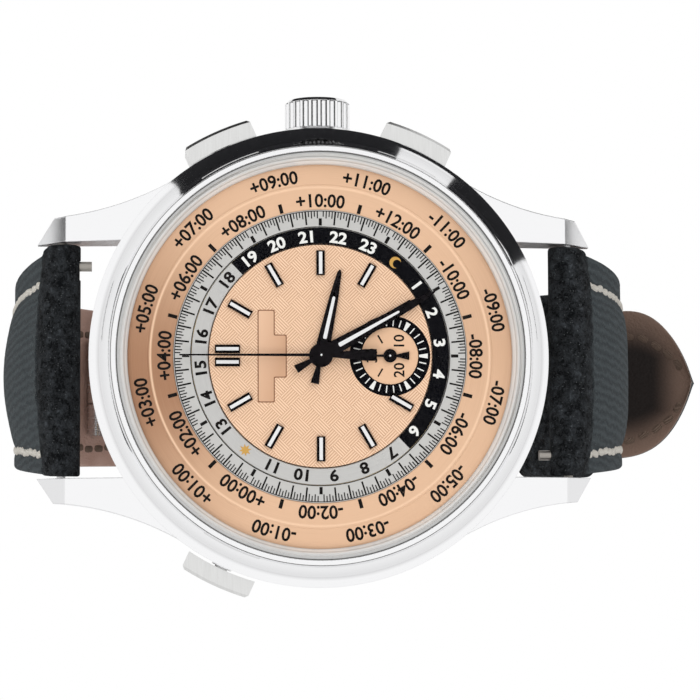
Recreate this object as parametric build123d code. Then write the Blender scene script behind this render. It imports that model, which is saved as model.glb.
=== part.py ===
from build123d import *
import os
from math import asin, atan2, cos, degrees, hypot, pi, radians, sin, sqrt

os.makedirs("parts", exist_ok=True)

# A wristwatch in millimetres. The origin is the centre of the case back's outer face,
# +Z points out of the dial, +Y to 12 o'clock and +X to 3 o'clock, where the crown is.

# Shared fits
fit = 0.05                 # radial play of a running fit
air = 0.15                 # play between pieces that pass each other
overrun = 2.0              # how far a cutting tool runs past what it cuts

# Case
case_radius = 20.5
middle_radius = 19.9
middle_foot_radius = 19.3
middle_foot_rise = 0.5
middle_chamfer_rise = 1.7
middle_top = 8.0
bore_radius = 17.6
back_radius = 18.4
back_height = 1.5
window_radius = 14.6
window_thick = 1.0
window_ledge = 0.7
gasket_wire = 0.3
back_bevel = 0.3
back_notch_count = 6
back_notch_radius = 0.7
back_notch_depth = 0.4

# Bezel, crystal and the ring under the crystal
bezel_skirt = 0.9
bezel_top = 11.6
bezel_lip_width = 0.45
bezel_hollow = 0.25
crystal_radius = 17.75
crystal_seat = 10.95
crystal_edge = 1.2
crystal_dome = 0.6
crystal_bevel = 0.15
gasket_wall = 0.3
gasket_height = 0.5
flange_inner_radius = 17.05
flange_lip_thick = 0.4
flange_leg_wall = 0.3

# Lugs
lug_gap = 21.3
lug_nose = 2.26            # from the spring bar to the tip
lug_nose_slope = 1.56
lug_tip_half = 12.9
lug_root_half = 16.2
lug_root_reach = 12.5
lug_hollow = 0.7
lug_crease_inset = 0.4
lug_crease_height = 4.9
lug_tip_height = 1.9
lug_tip_bottom = 0.9
lug_under_height = 1.3
lug_under_inset = 2.1
lug_bar_clear = 0.9        # between the case and the strap's loop round the bar
lug_bar_height = 3.0
bar_hole_radius = 0.45
bar_hole_depth = 1.2

# Dial levels and rings
dial_plate_bottom = 8.45
dial_plate_thick = 0.4
dial_plate_radius = 17.3
dial_top = 9.6
dial_sheet = 0.35
disc_top_drop = 0.1
centre_dial_radius = 9.95
hour_ring_outer = 11.45
hour_disc_bore = 8.5
dial_hub_wall = 0.9
track_outer = 13.0
track_web_wall = 1.3
track_lip = 0.25
city_outer = 17.35
city_rim_width = 0.25
city_rim_rise = 0.05
city_rim_radius = 15.1

# Sub-dial
counter_reach = 6.15
counter_radius = 3.6
counter_ring_inner = 2.55
counter_recess = 0.08

# Applied hour markers
marker_inner = 7.15
marker_outer = 9.35
marker_width = 0.75
marker_height = 0.35
marker_pair_offset = 0.58

# Hands and their pipes
arbor_radius = 0.2
cannon_radius = 0.5
hour_pipe_radius = 0.8
dial_hole_radius = 0.9
hand_thick = 0.14
hour_hand_level = 9.95
minute_hand_level = 10.25
seconds_hand_level = 10.58
hour_hand_length = 7.8
hour_hand_root_half = 0.62
hour_hand_tip_half = 0.3
minute_hand_length = 11.6
minute_hand_root_half = 0.66
minute_hand_tip_half = 0.36
minute_hand_shoulder = 9.3
hand_hub_radius = 1.05
hand_tail_length = 2.55
hand_tail_half = 0.38
hand_waist_half = 0.2
seconds_hand_length = 12.5
seconds_hand_half = 0.13
seconds_hub_radius = 0.75
seconds_tail_length = 4.9
seconds_tail_half = 0.52
counter_hand_level = 9.72
counter_hand_length = 2.2
counter_hand_half = 0.11
counter_hub_radius = 0.6
counter_tail_length = 1.7
counter_tail_half = 0.38
hour_hand_heading = 102.7
minute_hand_heading = 150.7

# Movement
ring_wall = 1.5
ring_bottom = 3.0
plate_radius = 15.9
plate_bottom = 5.0
plate_top = 7.2
bridge_bottom = 3.5
bridge_thick = 0.8
bridge_radius = 15.6
bridge_rim = 1.0
motion_spread = 3.0
cannon_teeth = 12
minute_wheel_teeth = 36
minute_pinion_teeth = 10
hour_wheel_teeth = 40
motion_wheel_thick = 0.35
minute_wheel_heading = 205.0
stud_radius = 0.3
centre_wheel_radius = 3.2
centre_wheel_teeth = 64
centre_wheel_level = 4.75
train_wheel_thick = 0.2
seconds_wheel_radius = 2.6
seconds_wheel_level = 4.42
barrel_teeth = 80
centre_pinion_teeth = 10
barrel_spread = 5.4
barrel_heading = 50.0
drum_gap = 0.35
barrel_bottom = 5.08
barrel_height = 1.3
barrel_tooth_thick = 0.35
ratchet_radius = 2.6
ratchet_teeth = 36
ratchet_thick = 0.25
balance_reach = 10.2
balance_heading = 222.0
balance_radius = 4.2
balance_rim_width = 0.6
balance_level = 3.85
balance_thick = 0.35
staff_radius = 0.15
cock_bottom = 2.85
cock_thick = 0.5
cock_half = 2.0
cock_root_half = 3.4
hairspring_level = 3.5
hairspring_thick = 0.12
hairspring_wall = 0.06
hairspring_inner = 0.6
hairspring_outer = 2.1
hairspring_turns = 7
escape_spread = 5.9
escape_turn = 52.0
escape_radius = 2.0
escape_teeth = 20
escape_level = 4.55
fork_spread = 2.9
fork_half = 0.2
fork_arm_span = 1.65
column_reach = 10.4
column_heading = 118.0
column_radius = 1.9
column_pillars = 6
column_pillar_radius = 0.42
column_pillar_inset = 0.75
column_level = 2.95
jewel_radius = 0.55
jewel_hole = 0.2
screw_head_radius = 0.75
screw_head_height = 0.3
screw_shank_radius = 0.4
screw_slot = 0.2
screw_ring_radius = 14.4

# Rotor
rotor_bottom = 1.75
rotor_rim_inner = 12.2
rotor_rim_outer = 15.2
rotor_rim_thick = 0.8
rotor_web_thick = 0.35
rotor_hub_radius = 2.2
bearing_radius = 1.1

# Crown and stem
crown_level = 5.7
crown_radius = 2.93
crown_inner_reach = 20.8
crown_reach = 23.45
crown_flutes = 22
crown_flute_radius = 0.3
crown_bevel = 0.3
crown_recess_radius = 1.75
crown_recess_depth = 1.5
crown_tube_radius = 1.6
crown_tube_bore = 0.8
crown_tube_inner_reach = 17.8
crown_travel = 1.0
stem_radius = 0.6
stem_square = 0.7
stem_spare = 1.6
pinion_radius = 1.2
pinion_inner_reach = 11.6
pinion_length = 1.8
pinion_teeth = 14

# The stem's square stays in the pinion when the crown is pulled out
stem_inner_reach = pinion_inner_reach - crown_travel - stem_spare
stem_neck_reach = pinion_inner_reach + pinion_length + crown_travel + air

# Pushers
pusher_headings = (24.5, -24.5, 155.0)
pusher_names = ("pusher_2", "pusher_4", "pusher_10")
pusher_travel = 0.7
pusher_head_length = 1.6
pusher_half_angle = 8.2
pusher_bottom = 3.7
pusher_top = 7.7
pusher_bevel = 0.25
pusher_stem_radius = 0.6
pusher_stem_inner_reach = 16.6
pusher_tube_radius = 1.15
pusher_tube_inner_reach = 17.7
pusher_spring_reach = 18.6
pusher_spring_radius = 0.95
pusher_spring_wall = 0.2

# What the crown and the pushers carry, worked out from the case
crown_tube_reach = crown_inner_reach + crown_recess_depth - air - fit
pusher_inner_reach = middle_radius + air + pusher_travel
pusher_reach = pusher_inner_reach + pusher_head_length

# Strap: both pieces follow straights and bends in the YZ plane, from the spring bars down
strap_width = 20.9
strap_taper_length = 60.0
strap_end_width = 16.0
strap_skin = 1.2
strap_root_edge = 1.6
strap_end_edge = 0.9
strap_crown = 0.75
strap_flat_crown = 0.04
lining_thick = 0.7
bar_loop_radius = 1.7
bar_tube_radius = 0.75
bar_tube_half = 9.6
bar_tip_radius = 0.4
lug_bar_reach = case_radius + lug_bar_clear + bar_loop_radius
lug_tip_reach = lug_bar_reach + lug_nose
lug_tip_outer_reach = lug_tip_reach - lug_nose_slope
lug_crease_reach = lug_bar_reach - lug_crease_inset
lug_under_reach = lug_bar_reach - lug_under_inset
release_reach = 8.6
release_travel = 0.9
knob_radius = 0.45
knob_neck_radius = 0.28
knob_length = 2.7
long_side_length = 26.0
long_corner_radius = 20.5
long_flat_length = 38.7
long_tail_length = 13.0
long_lean = 22.5
long_tail_lift = 18.0
short_side_length = 26.0
short_corner_radius = 17.4
short_flat_length = 7.0
short_lean = 38.0
short_turn = 85.0
tip_length = 8.0
tip_half = 1.2
hole_count = 6
hole_pitch = 6.0
hole_radius = 0.9
first_hole_reach = 3.0
side_steps = 5             # path samples along each stretch
corner_steps = 8
flat_steps = 4
tail_steps = 2
tip_steps = 5
keeper_wall = 0.9
keeper_length = 5.0
keeper_place = 37.5
keeper_tail_room = 2.3
keeper_play = 0.6

# Fold-over clasp
clasp_width = 10.2
strap_clear = 0.3
blade_thick = 0.95
base_thick = 0.7
clasp_reach = 21.0
clasp_pin_radius = 0.35
clasp_knuckle_radius = 0.8
end_loop_radius = 1.3
end_pin_radius = 0.6
ear_wall = 1.1
frame_inner_width = 16.6
frame_bar = 1.3
frame_reach = 4.2
frame_length = 9.4
tang_width = 1.2
tang_pin_radius = 0.22


def save(name, shape):
    """Write one node; a list of shapes becomes a group of separate solids."""
    shapes = shape if isinstance(shape, list) else [shape]
    part = Compound(children=[Solid(solid.wrapped) for item in shapes for solid in item.solids()])
    part.label = name
    export_step(part, f"parts/{name}.step")


def pipe(outer, inner, bottom, top):
    """A plain ring about Z, or a disc where inner is zero."""
    body = Pos(0, 0, bottom) * extrude(Circle(outer), top - bottom)
    if inner > 0:
        body -= Pos(0, 0, bottom - overrun) * extrude(Circle(inner), top - bottom + overrun + overrun)
    return body


def turned(*points):
    """A solid of revolution about Z from an outline of (radius, height) points."""
    outline = Plane.XZ * make_face(Polyline(*points, close=True))
    return revolve(outline, Axis.Z)


def rod(radius, start, end, heading=0.0, level=0.0, bore=0.0):
    """A rod that lies along the radial line at this heading, from one reach to another."""
    disc = Circle(radius) - Circle(bore) if bore > 0 else Circle(radius)
    body = Plane(origin=(start, 0, level), x_dir=(0, 1, 0), z_dir=(1, 0, 0)) * extrude(disc, end - start)
    return Rot(0, 0, heading) * body


def cross_rod(radius, half, y, z):
    """A rod along X, centred on the YZ plane."""
    start = Plane(origin=(-half, y, z), x_dir=(0, 1, 0), z_dir=(1, 0, 0))
    return start * extrude(Circle(radius), half + half)


def place(reach, heading):
    """The point at this reach and heading, counted counter-clockwise from 3 o'clock."""
    return reach * cos(radians(heading)), reach * sin(radians(heading))


def gear(teeth, pitch_radius, bottom, top, bore=0.0, phase=0.0):
    """A spur wheel with plain tapered teeth, thin enough to leave play in mesh."""
    module = (pitch_radius + pitch_radius) / teeth
    step = 360.0 / teeth
    root_share, tip_share, depth_share, top_share = 0.21, 0.09, 1.15, 0.85
    points = []
    for tooth in range(teeth):
        centre = phase + tooth * step
        for turn, radius in (
            (-root_share, pitch_radius - depth_share * module),
            (-tip_share, pitch_radius + top_share * module),
            (tip_share, pitch_radius + top_share * module),
            (root_share, pitch_radius - depth_share * module),
        ):
            points.append(place(radius, centre + turn * step))
    face = make_face(Polyline(*points, close=True))
    if bore > 0:
        face -= Circle(bore)
    return Pos(0, 0, bottom) * extrude(face, top - bottom)


def aimed(shape, heading):
    """Turn a hand that was drawn pointing to 12 o'clock clockwise by its heading."""
    return Rot(0, 0, -heading) * shape


def hand_blade(outline, hub_radius, level):
    """A flat hand: a symmetric outline of (reach, half width) points along Y, and a round hub."""
    right = [(half, reach) for reach, half in outline]
    left = [(-half, reach) for reach, half in reversed(outline)]
    face = make_face(Polyline(*right, *left, close=True)) + Circle(hub_radius)
    return Pos(0, 0, level) * extrude(face, hand_thick)


# Case middle with its four lugs
def lug():
    """One lug beside 12 o'clock on the crown side."""
    inner = lug_gap / 2
    middle_half = (lug_tip_half + lug_root_half) / 2 - lug_hollow
    middle_reach = (lug_tip_outer_reach + lug_root_reach) / 2
    plan = make_face(
        [
            Line((inner, lug_root_reach), (inner, lug_tip_reach)),
            Line((inner, lug_tip_reach), (lug_tip_half, lug_tip_outer_reach)),
            ThreePointArc(
                (lug_tip_half, lug_tip_outer_reach),
                (middle_half, middle_reach),
                (lug_root_half, lug_root_reach),
            ),
            Line((lug_root_half, lug_root_reach), (inner, lug_root_reach)),
        ]
    )
    side = Plane.YZ * make_face(
        [
            Line((lug_root_reach, middle_top), (lug_crease_reach, lug_crease_height)),
            Line((lug_crease_reach, lug_crease_height), (lug_tip_reach, lug_tip_height)),
            Line((lug_tip_reach, lug_tip_height), (lug_tip_reach, lug_tip_bottom)),
            ThreePointArc(
                (lug_tip_reach, lug_tip_bottom),
                (lug_under_reach, lug_under_height),
                (lug_root_reach, middle_foot_rise + middle_chamfer_rise),
            ),
            Line((lug_root_reach, middle_foot_rise + middle_chamfer_rise), (lug_root_reach, middle_top)),
        ]
    )
    return extrude(plan, middle_top) & extrude(side, lug_root_half + overrun)


def case_middle():
    ledge = back_height + gasket_wire
    ring = turned(
        (bore_radius, ledge),
        (back_radius + fit, ledge),
        (back_radius + fit, middle_foot_rise),
        (middle_foot_radius, middle_foot_rise),
        (middle_radius, middle_foot_rise + middle_chamfer_rise),
        (middle_radius, middle_top),
        (bore_radius, middle_top),
    )
    corner = lug()
    corner -= pipe(back_radius + overrun / 2, 0, -overrun, middle_top + overrun)
    corner -= cross_rod(bar_hole_radius, lug_gap / 2 + bar_hole_depth, lug_bar_reach, lug_bar_height)
    pair = corner + mirror(corner, Plane.YZ)
    body = ring + pair + mirror(pair, Plane.XZ)
    body -= rod(crown_tube_radius, bore_radius - overrun, case_radius + overrun, 0, crown_level)
    for heading in pusher_headings:
        body -= rod(pusher_tube_radius, bore_radius - overrun, case_radius + overrun, heading, crown_level)
    return body


def case_back():
    ring = turned(
        (window_radius, 0),
        (back_radius - back_bevel, 0),
        (back_radius, back_bevel),
        (back_radius, back_height),
        (window_radius - window_ledge, back_height),
        (window_radius - window_ledge, window_thick),
        (window_radius, window_thick),
    )
    notch_reach = (window_radius + back_radius) / 2
    for notch in range(back_notch_count):
        x, y = place(notch_reach, 360 * notch / back_notch_count)
        ring -= Pos(x, y, -overrun) * extrude(Circle(back_notch_radius), overrun + back_notch_depth)
    return ring


def bezel():
    bore = crystal_radius + gasket_wall
    lip = bore + bezel_lip_width
    skirt_top = middle_top + bezel_skirt
    hollow = ((case_radius + lip) / 2 - bezel_hollow, (skirt_top + bezel_top) / 2 - bezel_hollow)
    outline = Plane.XZ * make_face(
        [
            Line((bore, middle_top), (case_radius, middle_top)),
            Line((case_radius, middle_top), (case_radius, skirt_top)),
            ThreePointArc((case_radius, skirt_top), hollow, (lip, bezel_top)),
            Line((lip, bezel_top), (bore, bezel_top)),
            Line((bore, bezel_top), (bore, middle_top)),
        ]
    )
    return revolve(outline, Axis.Z)


def crystal():
    edge_top = crystal_seat + crystal_edge
    rim = crystal_radius - crystal_bevel
    dome_radius = (rim * rim + crystal_dome * crystal_dome) / (crystal_dome + crystal_dome)
    half_angle = asin(rim / dome_radius) / 2
    dome_centre = edge_top + crystal_dome - dome_radius
    outline = Plane.XZ * make_face(
        [
            Line((0, crystal_seat), (crystal_radius, crystal_seat)),
            Line((crystal_radius, crystal_seat), (crystal_radius, edge_top - crystal_bevel)),
            Line((crystal_radius, edge_top - crystal_bevel), (rim, edge_top)),
            ThreePointArc(
                (rim, edge_top),
                (dome_radius * sin(half_angle), dome_centre + dome_radius * cos(half_angle)),
                (0, edge_top + crystal_dome),
            ),
            Line((0, edge_top + crystal_dome), (0, crystal_seat)),
        ]
    )
    return revolve(outline, Axis.Z)


def gaskets():
    """The ring that seals the crystal and the one behind the case back."""
    front = pipe(crystal_radius + gasket_wall, crystal_radius, crystal_seat, crystal_seat + gasket_height)
    back = pipe(back_radius, back_radius - gasket_wire * 2, back_height, back_height + gasket_wire)
    return [front, back]


def flange_ring():
    outer = crystal_radius + gasket_wall
    return turned(
        (outer, middle_top),
        (outer, crystal_seat),
        (outer - flange_leg_wall - flange_leg_wall, crystal_seat),
        (flange_inner_radius, dial_top + flange_lip_thick),
        (flange_inner_radius, dial_top + fit),
        (outer - flange_leg_wall, dial_top + fit),
        (outer - flange_leg_wall, middle_top),
    )


# Strap
def strap_path(side, start, lean, legs):
    """Sample points along one strap piece: straights and bends laid end to end.

    side is 1 at 12 o'clock and -1 at 6. Each leg is (length, turn); the heading starts
    straight down, leaned outwards. Returns (along, y, z, heading) rows.
    """
    heading = radians(-90 + lean)
    y, z = start
    along = 0.0
    rows = [(along, y, z, heading)]
    for length, turn, steps in legs:
        for _ in range(steps):
            part = length / steps
            bend = radians(turn) / steps
            chord = part * sin(bend / 2) / (bend / 2) if bend else part
            y += chord * cos(heading - bend / 2)
            z += chord * sin(heading - bend / 2)
            heading -= bend
            along += part
            rows.append((along, y, z, heading))
    return [(s, side * y, z, h) for s, y, z, h in rows]


def strap_section(row, side, half, edge, crown):
    """The domed cross-section at one row of the path, its flat lining face inwards."""
    along, y, z, heading = row
    ahead = Vector(0, side * cos(heading), sin(heading))
    out = Vector(0, -side * sin(heading), cos(heading))
    plane = Plane(origin=(0, y, z), x_dir=(1, 0, 0), z_dir=Vector(1, 0, 0).cross(out))
    across = 1 if plane.y_dir.dot(out) > 0 else -1
    return plane * make_face(
        [
            Line((-half, -across * strap_skin), (half, -across * strap_skin)),
            Line((half, -across * strap_skin), (half, across * edge)),
            ThreePointArc((half, across * edge), (0, across * (edge + crown)), (-half, across * edge)),
            Line((-half, across * edge), (-half, -across * strap_skin)),
        ]
    )


def eased(share):
    """A smooth step from 0 to 1."""
    share = min(max(share, 0.0), 1.0)
    return share * share * (3 - 2 * share)


def strap_half(along):
    """Half the strap's width so far along it."""
    share = min(along / strap_taper_length, 1.0)
    return (strap_width - (strap_width - strap_end_width) * sin(share * pi / 2)) / 2


def strap_body(rows, side, flat_from, tipped):
    """The whole strap piece as one solid, before its lining is parted from it."""
    total = rows[-1][0]
    sections = []
    for row in rows:
        along = row[0]
        taper = along / flat_from
        half = strap_half(along)
        left = total - along
        if tipped and left < tip_length:
            share = (tip_length - left) / tip_length
            half = max(half * sqrt(max(1 - share * share, 0.0)), tip_half)
        edge = strap_root_edge + (strap_end_edge - strap_root_edge) * eased(taper)
        crown = strap_crown + (strap_flat_crown - strap_crown) * eased(taper)
        sections.append(strap_section(row, side, half, edge, crown))
    return loft(sections)


def lining_zone(rows, side):
    """Everything on the wrist side of the seam between lining and cover, as one slab."""
    seam, far = [], []
    for along, y, z, heading in rows:
        away_y = side * sin(heading)
        away_z = -cos(heading)
        depth = strap_skin - lining_thick
        seam.append((y + away_y * depth, z + away_z * depth))
        far.append((y + away_y * (strap_skin + overrun), z + away_z * (strap_skin + overrun)))
    face = Plane.YZ * make_face(
        [
            Spline(*seam),
            Line(seam[-1], far[-1]),
            Spline(*reversed(far)),
            Line(far[0], seam[0]),
        ]
    )
    return extrude(face, strap_width, both=True)


long_rows = strap_path(
    1,
    (lug_bar_reach, lug_bar_height),
    long_lean,
    (
        (long_side_length, long_lean, side_steps),
        (long_corner_radius * pi / 2, 90, corner_steps),
        (long_flat_length, 0, flat_steps),
        (long_tail_length - tip_length, long_tail_lift / 2, tail_steps),
        (tip_length, long_tail_lift / 2, tip_steps),
    ),
)
short_rows = strap_path(
    -1,
    (lug_bar_reach, lug_bar_height),
    short_lean,
    (
        (short_side_length, short_lean, side_steps),
        (short_corner_radius * radians(short_turn), short_turn, corner_steps),
        (short_flat_length, 0, flat_steps),
    ),
)
corner_row = long_rows[side_steps]
flat_row = long_rows[side_steps + corner_steps]


def strap_pieces(rows, side, flat_from, tipped):
    """The cover and the lining of one strap piece."""
    whole = strap_body(rows, side, flat_from, tipped)
    y, z = side * lug_bar_reach, lug_bar_height
    whole += cross_rod(bar_loop_radius, strap_width / 2, y, z)
    zone = lining_zone(rows[1:] if tipped else rows[1:-flat_steps // 2], side)
    lining = whole & zone
    cover = whole - zone
    bore = cross_rod(bar_tube_radius, strap_width, y, z)
    slot_low = release_reach - release_travel - knob_radius - air
    slot_high = release_reach + knob_radius + air
    slot = Pos(side * (slot_low + slot_high) / 2, y - side * bar_loop_radius, z) * Box(
        slot_high - slot_low, bar_loop_radius + bar_loop_radius, knob_radius * 2 + air * 2
    )
    cover = cover - bore - slot
    return cover, lining


def spring_bar(side):
    """The tube that carries the strap end, with its fixed tip and its open, slotted end."""
    y, z = side * lug_bar_reach, lug_bar_height
    tip_end = lug_gap / 2 + bar_hole_depth - air
    tube = cross_rod(bar_tube_radius, bar_tube_half, y, z)
    start = Plane(origin=(0, y, z), x_dir=(0, 1, 0), z_dir=(side, 0, 0))
    bore_start = release_reach - release_travel - knob_radius - air - fit
    bore = start.offset(bore_start) * extrude(Circle(bar_tip_radius + fit), bar_tube_half)
    slot_high = release_reach + knob_radius + air
    slot_low = bore_start + fit
    slot = Pos(side * (slot_low + slot_high) / 2, y - side * bar_tube_radius, z) * Box(
        slot_high - slot_low, bar_tube_radius + bar_tube_radius, knob_radius * 2 + air * 2
    )
    fixed = Plane(origin=(0, y, z), x_dir=(0, 1, 0), z_dir=(-side, 0, 0))
    tip = fixed.offset(bar_tube_half / 2) * extrude(Circle(bar_tip_radius), tip_end - bar_tube_half / 2)
    return tube - bore - slot + tip


def release_pin(side):
    """The sliding tip of the quick-release bar with the knob that draws it back."""
    y, z = side * lug_bar_reach, lug_bar_height
    tip_end = lug_gap / 2 + bar_hole_depth - air
    inner = release_reach - knob_radius
    start = Plane(origin=(0, y, z), x_dir=(0, 1, 0), z_dir=(side, 0, 0))
    tip = start.offset(inner) * extrude(Circle(bar_tip_radius), tip_end - inner)
    knob_plane = Plane(origin=(side * release_reach, y, z), x_dir=(1, 0, 0), z_dir=(0, -side, 0))
    head_start = bar_tube_radius + air
    neck = knob_plane * extrude(Circle(knob_neck_radius), head_start + air)
    head = knob_plane.offset(head_start) * extrude(Circle(knob_radius), knob_length - head_start)
    return tip + neck + head


def strap_holes():
    """Round tongue holes along the flat stretch of the long piece."""
    tools = []
    for hole in range(hole_count):
        y = corner_y - first_hole_reach - hole * hole_pitch
        tools.append(Pos(0, y, flat_row[2]) * Cylinder(hole_radius, overrun * 3))
    return tools


def keeper():
    """The fixed loop on the short piece, with room left in it for the tail."""
    row = next(r for r in short_rows if r[0] >= keeper_place)
    along, y, z, heading = row
    out = Vector(0, sin(heading), cos(heading))
    inner_half = strap_half(along - keeper_length) + air
    high = strap_skin + keeper_play
    low = strap_end_edge + keeper_play + keeper_tail_room
    plane = Plane(origin=(0, y, z), x_dir=(1, 0, 0), z_dir=Vector(1, 0, 0).cross(out))
    across = 1 if plane.y_dir.dot(out) > 0 else -1
    middle = across * (low - high) / 2
    outer = Pos(0, middle) * Rectangle(
        inner_half * 2 + keeper_wall * 2, high + low + keeper_wall * 2
    )
    hole = Pos(0, middle) * Rectangle(inner_half * 2, high + low)
    return extrude(plane * (outer - hole), keeper_length / 2, both=True)


# Clasp: strips that lie on the flat of the long piece and follow its corner
corner_y, corner_z = flat_row[1], corner_row[2]
strap_inner = long_corner_radius - strap_skin
blade_outer = strap_inner - strap_clear
blade_inner = blade_outer - blade_thick
base_outer = blade_inner - air
base_inner = base_outer - base_thick
pin_y, pin_z = short_rows[-1][1], short_rows[-1][2]
hinge_radius = (base_inner + blade_outer) / 2
hinge_angle = asin((clasp_reach - corner_y) / hinge_radius)
tang_eye = blade_thick / 2
tang_y = frame_reach - frame_bar - tang_eye - air


def on_strip(radius, angle):
    """A point of the clasp at this radius, so far round the corner from straight down."""
    return corner_y + radius * sin(angle), corner_z - radius * cos(angle)


def strip(inner, outer, start_y, angle, width):
    """A plate with a flat run from start_y to the corner and a bend up to the angle."""
    face = Plane.YZ * make_face(
        [
            Line((start_y, corner_z - outer), (corner_y, corner_z - outer)),
            ThreePointArc((corner_y, corner_z - outer), on_strip(outer, angle / 2), on_strip(outer, angle)),
            Line(on_strip(outer, angle), on_strip(inner, angle)),
            ThreePointArc(on_strip(inner, angle), on_strip(inner, angle / 2), (corner_y, corner_z - inner)),
            Line((corner_y, corner_z - inner), (start_y, corner_z - inner)),
            Line((start_y, corner_z - inner), (start_y, corner_z - outer)),
        ]
    )
    return extrude(face, width / 2, both=True)


def knuckle(low, high, bore):
    """One barrel of the clasp's far hinge, from low to high along X."""
    y, z = on_strip(hinge_radius, hinge_angle)
    disc = Circle(clasp_knuckle_radius)
    if bore:
        disc -= Circle(clasp_pin_radius + fit)
    return Plane(origin=(low, y, z), x_dir=(0, 1, 0), z_dir=(1, 0, 0)) * extrude(disc, high - low)


def clasp_base():
    """The plate on the wrist side, hinged to the short piece at its yoke."""
    half = clasp_width / 6
    knuckle_share = (clasp_knuckle_radius + air) / hinge_radius
    yoke_y = pin_y + end_loop_radius + air
    plate = strip(base_inner, base_outer, yoke_y, hinge_angle - knuckle_share, clasp_width)
    tongue = strip(base_inner, base_outer, yoke_y, hinge_angle, half * 2)
    middle = knuckle(-half, half, False)
    far = cross_rod(clasp_pin_radius, clasp_width / 2, *on_strip(hinge_radius, hinge_angle))
    ear_out = strap_end_width / 2 + air + ear_wall
    yoke_z = corner_z - (base_inner + base_outer) / 2
    bar = Pos(0, yoke_y + ear_wall / 2, yoke_z) * Box(ear_out * 2, ear_wall, base_thick)
    ears = []
    for side in (-1, 1):
        x = side * (ear_out - ear_wall / 2)
        run = yoke_y + ear_wall - pin_y
        arm = Pos(x, pin_y + run / 2, yoke_z) * Box(ear_wall, run, base_thick)
        eye = Plane(origin=(x - ear_wall / 2, pin_y, pin_z), x_dir=(0, 1, 0), z_dir=(1, 0, 0)) * extrude(
            Circle(end_loop_radius), ear_wall
        )
        ears.append(arm + eye)
    body = plate + tongue + middle + far + bar + ears[0] + ears[1]
    return body - cross_rod(end_pin_radius + fit, ear_out + overrun, pin_y, pin_z)


def clasp_blade():
    """The folding blade with the strap frame at its end."""
    gap_half = clasp_width / 6 + air
    knuckle_share = (clasp_knuckle_radius + air) / hinge_radius
    frame_y = frame_reach - frame_length
    level = corner_z - (blade_inner + blade_outer) / 2
    root = frame_reach - frame_bar
    plate = strip(blade_inner, blade_outer, root, hinge_angle - knuckle_share, clasp_width)
    outer = Pos(0, frame_y + frame_length / 2, level) * Box(
        frame_inner_width + frame_bar * 2, frame_length, blade_thick
    )
    window = Pos(0, frame_y + frame_length / 2, level) * Box(
        frame_inner_width, frame_length - frame_bar * 2, blade_thick + overrun
    )
    rest_depth = blade_thick / 2 + fit
    rest = Pos(0, frame_y + frame_bar / 2, level - (blade_thick - rest_depth) / 2) * Box(
        tang_width + air * 2, frame_bar + overrun, rest_depth
    )
    body = plate + (outer - window)
    body += knuckle(-clasp_width / 2, -gap_half, True) + knuckle(gap_half, clasp_width / 2, True)
    arms = strip(blade_inner, blade_outer, root, hinge_angle, clasp_width)
    y, z = on_strip(hinge_radius, hinge_angle)
    arms -= Pos(0, y, z) * Box(gap_half * 2, clasp_knuckle_radius * 4, clasp_knuckle_radius * 4)
    body += arms
    body -= cross_rod(clasp_pin_radius + fit, clasp_width, y, z)
    body -= cross_rod(clasp_knuckle_radius + air, gap_half, y, z)
    body += cross_rod(tang_pin_radius, frame_inner_width / 2 + frame_bar / 2, tang_y, level)
    return body - rest


def tang():
    """The tongue that goes through a strap hole, on its pin in the frame."""
    level = corner_z - (blade_inner + blade_outer) / 2
    run = tang_y - frame_reach + frame_length
    eye = cross_rod(tang_eye, tang_width / 2, tang_y, level)
    stem = Pos(0, tang_y - run / 2, level - blade_thick / 4) * Box(tang_width, run, blade_thick / 2)
    return eye + stem - cross_rod(tang_pin_radius + fit, tang_width, tang_y, level)


# Dial side
def dial_plate():
    top = dial_plate_bottom + dial_plate_thick
    plate = pipe(dial_plate_radius, dial_hole_radius, dial_plate_bottom, top)
    hub_outer = hour_disc_bore - fit
    hub = pipe(hub_outer, hub_outer - dial_hub_wall, top, dial_top - dial_sheet)
    counter_hole = Pos(0, -counter_reach, dial_plate_bottom) * Cylinder(arbor_radius + fit, overrun)
    return plate + hub - counter_hole


def dial_centre():
    sheet = pipe(centre_dial_radius, dial_hole_radius, dial_top - dial_sheet, dial_top)
    return sheet - Pos(0, -counter_reach, dial_top) * Cylinder(counter_radius, overrun)


def counter_dial():
    well = Pos(0, -counter_reach, dial_top - dial_sheet) * extrude(Circle(counter_radius), dial_sheet)
    top = dial_top - counter_recess
    well -= Pos(0, -counter_reach, top) * extrude(Circle(counter_ring_inner), overrun)
    return well - Pos(0, -counter_reach, dial_top) * Cylinder(arbor_radius + fit, overrun)


def day_night_disc():
    bottom = dial_plate_bottom + dial_plate_thick + fit
    top = dial_top - disc_top_drop
    inner_top = dial_top - dial_sheet - fit
    step = centre_dial_radius + fit
    return turned(
        (hour_disc_bore, bottom),
        (hour_ring_outer - fit, bottom),
        (hour_ring_outer - fit, top),
        (step, top),
        (step, inner_top),
        (hour_disc_bore, inner_top),
    )


def minute_track_ring():
    bottom = dial_plate_bottom + dial_plate_thick
    web = hour_ring_outer + track_web_wall
    return turned(
        (hour_ring_outer, bottom),
        (web, bottom),
        (web, dial_top - track_lip),
        (track_outer, dial_top - track_lip),
        (track_outer, dial_top),
        (hour_ring_outer, dial_top),
    )


def city_disc():
    bottom = dial_plate_bottom + dial_plate_thick + fit
    top = dial_top - disc_top_drop
    web = hour_ring_outer + track_web_wall + fit
    rail = city_rim_radius
    return turned(
        (web, bottom),
        (city_outer, bottom),
        (city_outer, top),
        (rail + city_rim_width, top),
        (rail + city_rim_width / 2, top + city_rim_rise),
        (rail, top),
        (track_outer + fit, top),
        (track_outer + fit, dial_top - track_lip - fit),
        (web, dial_top - track_lip - fit),
    )


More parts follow.
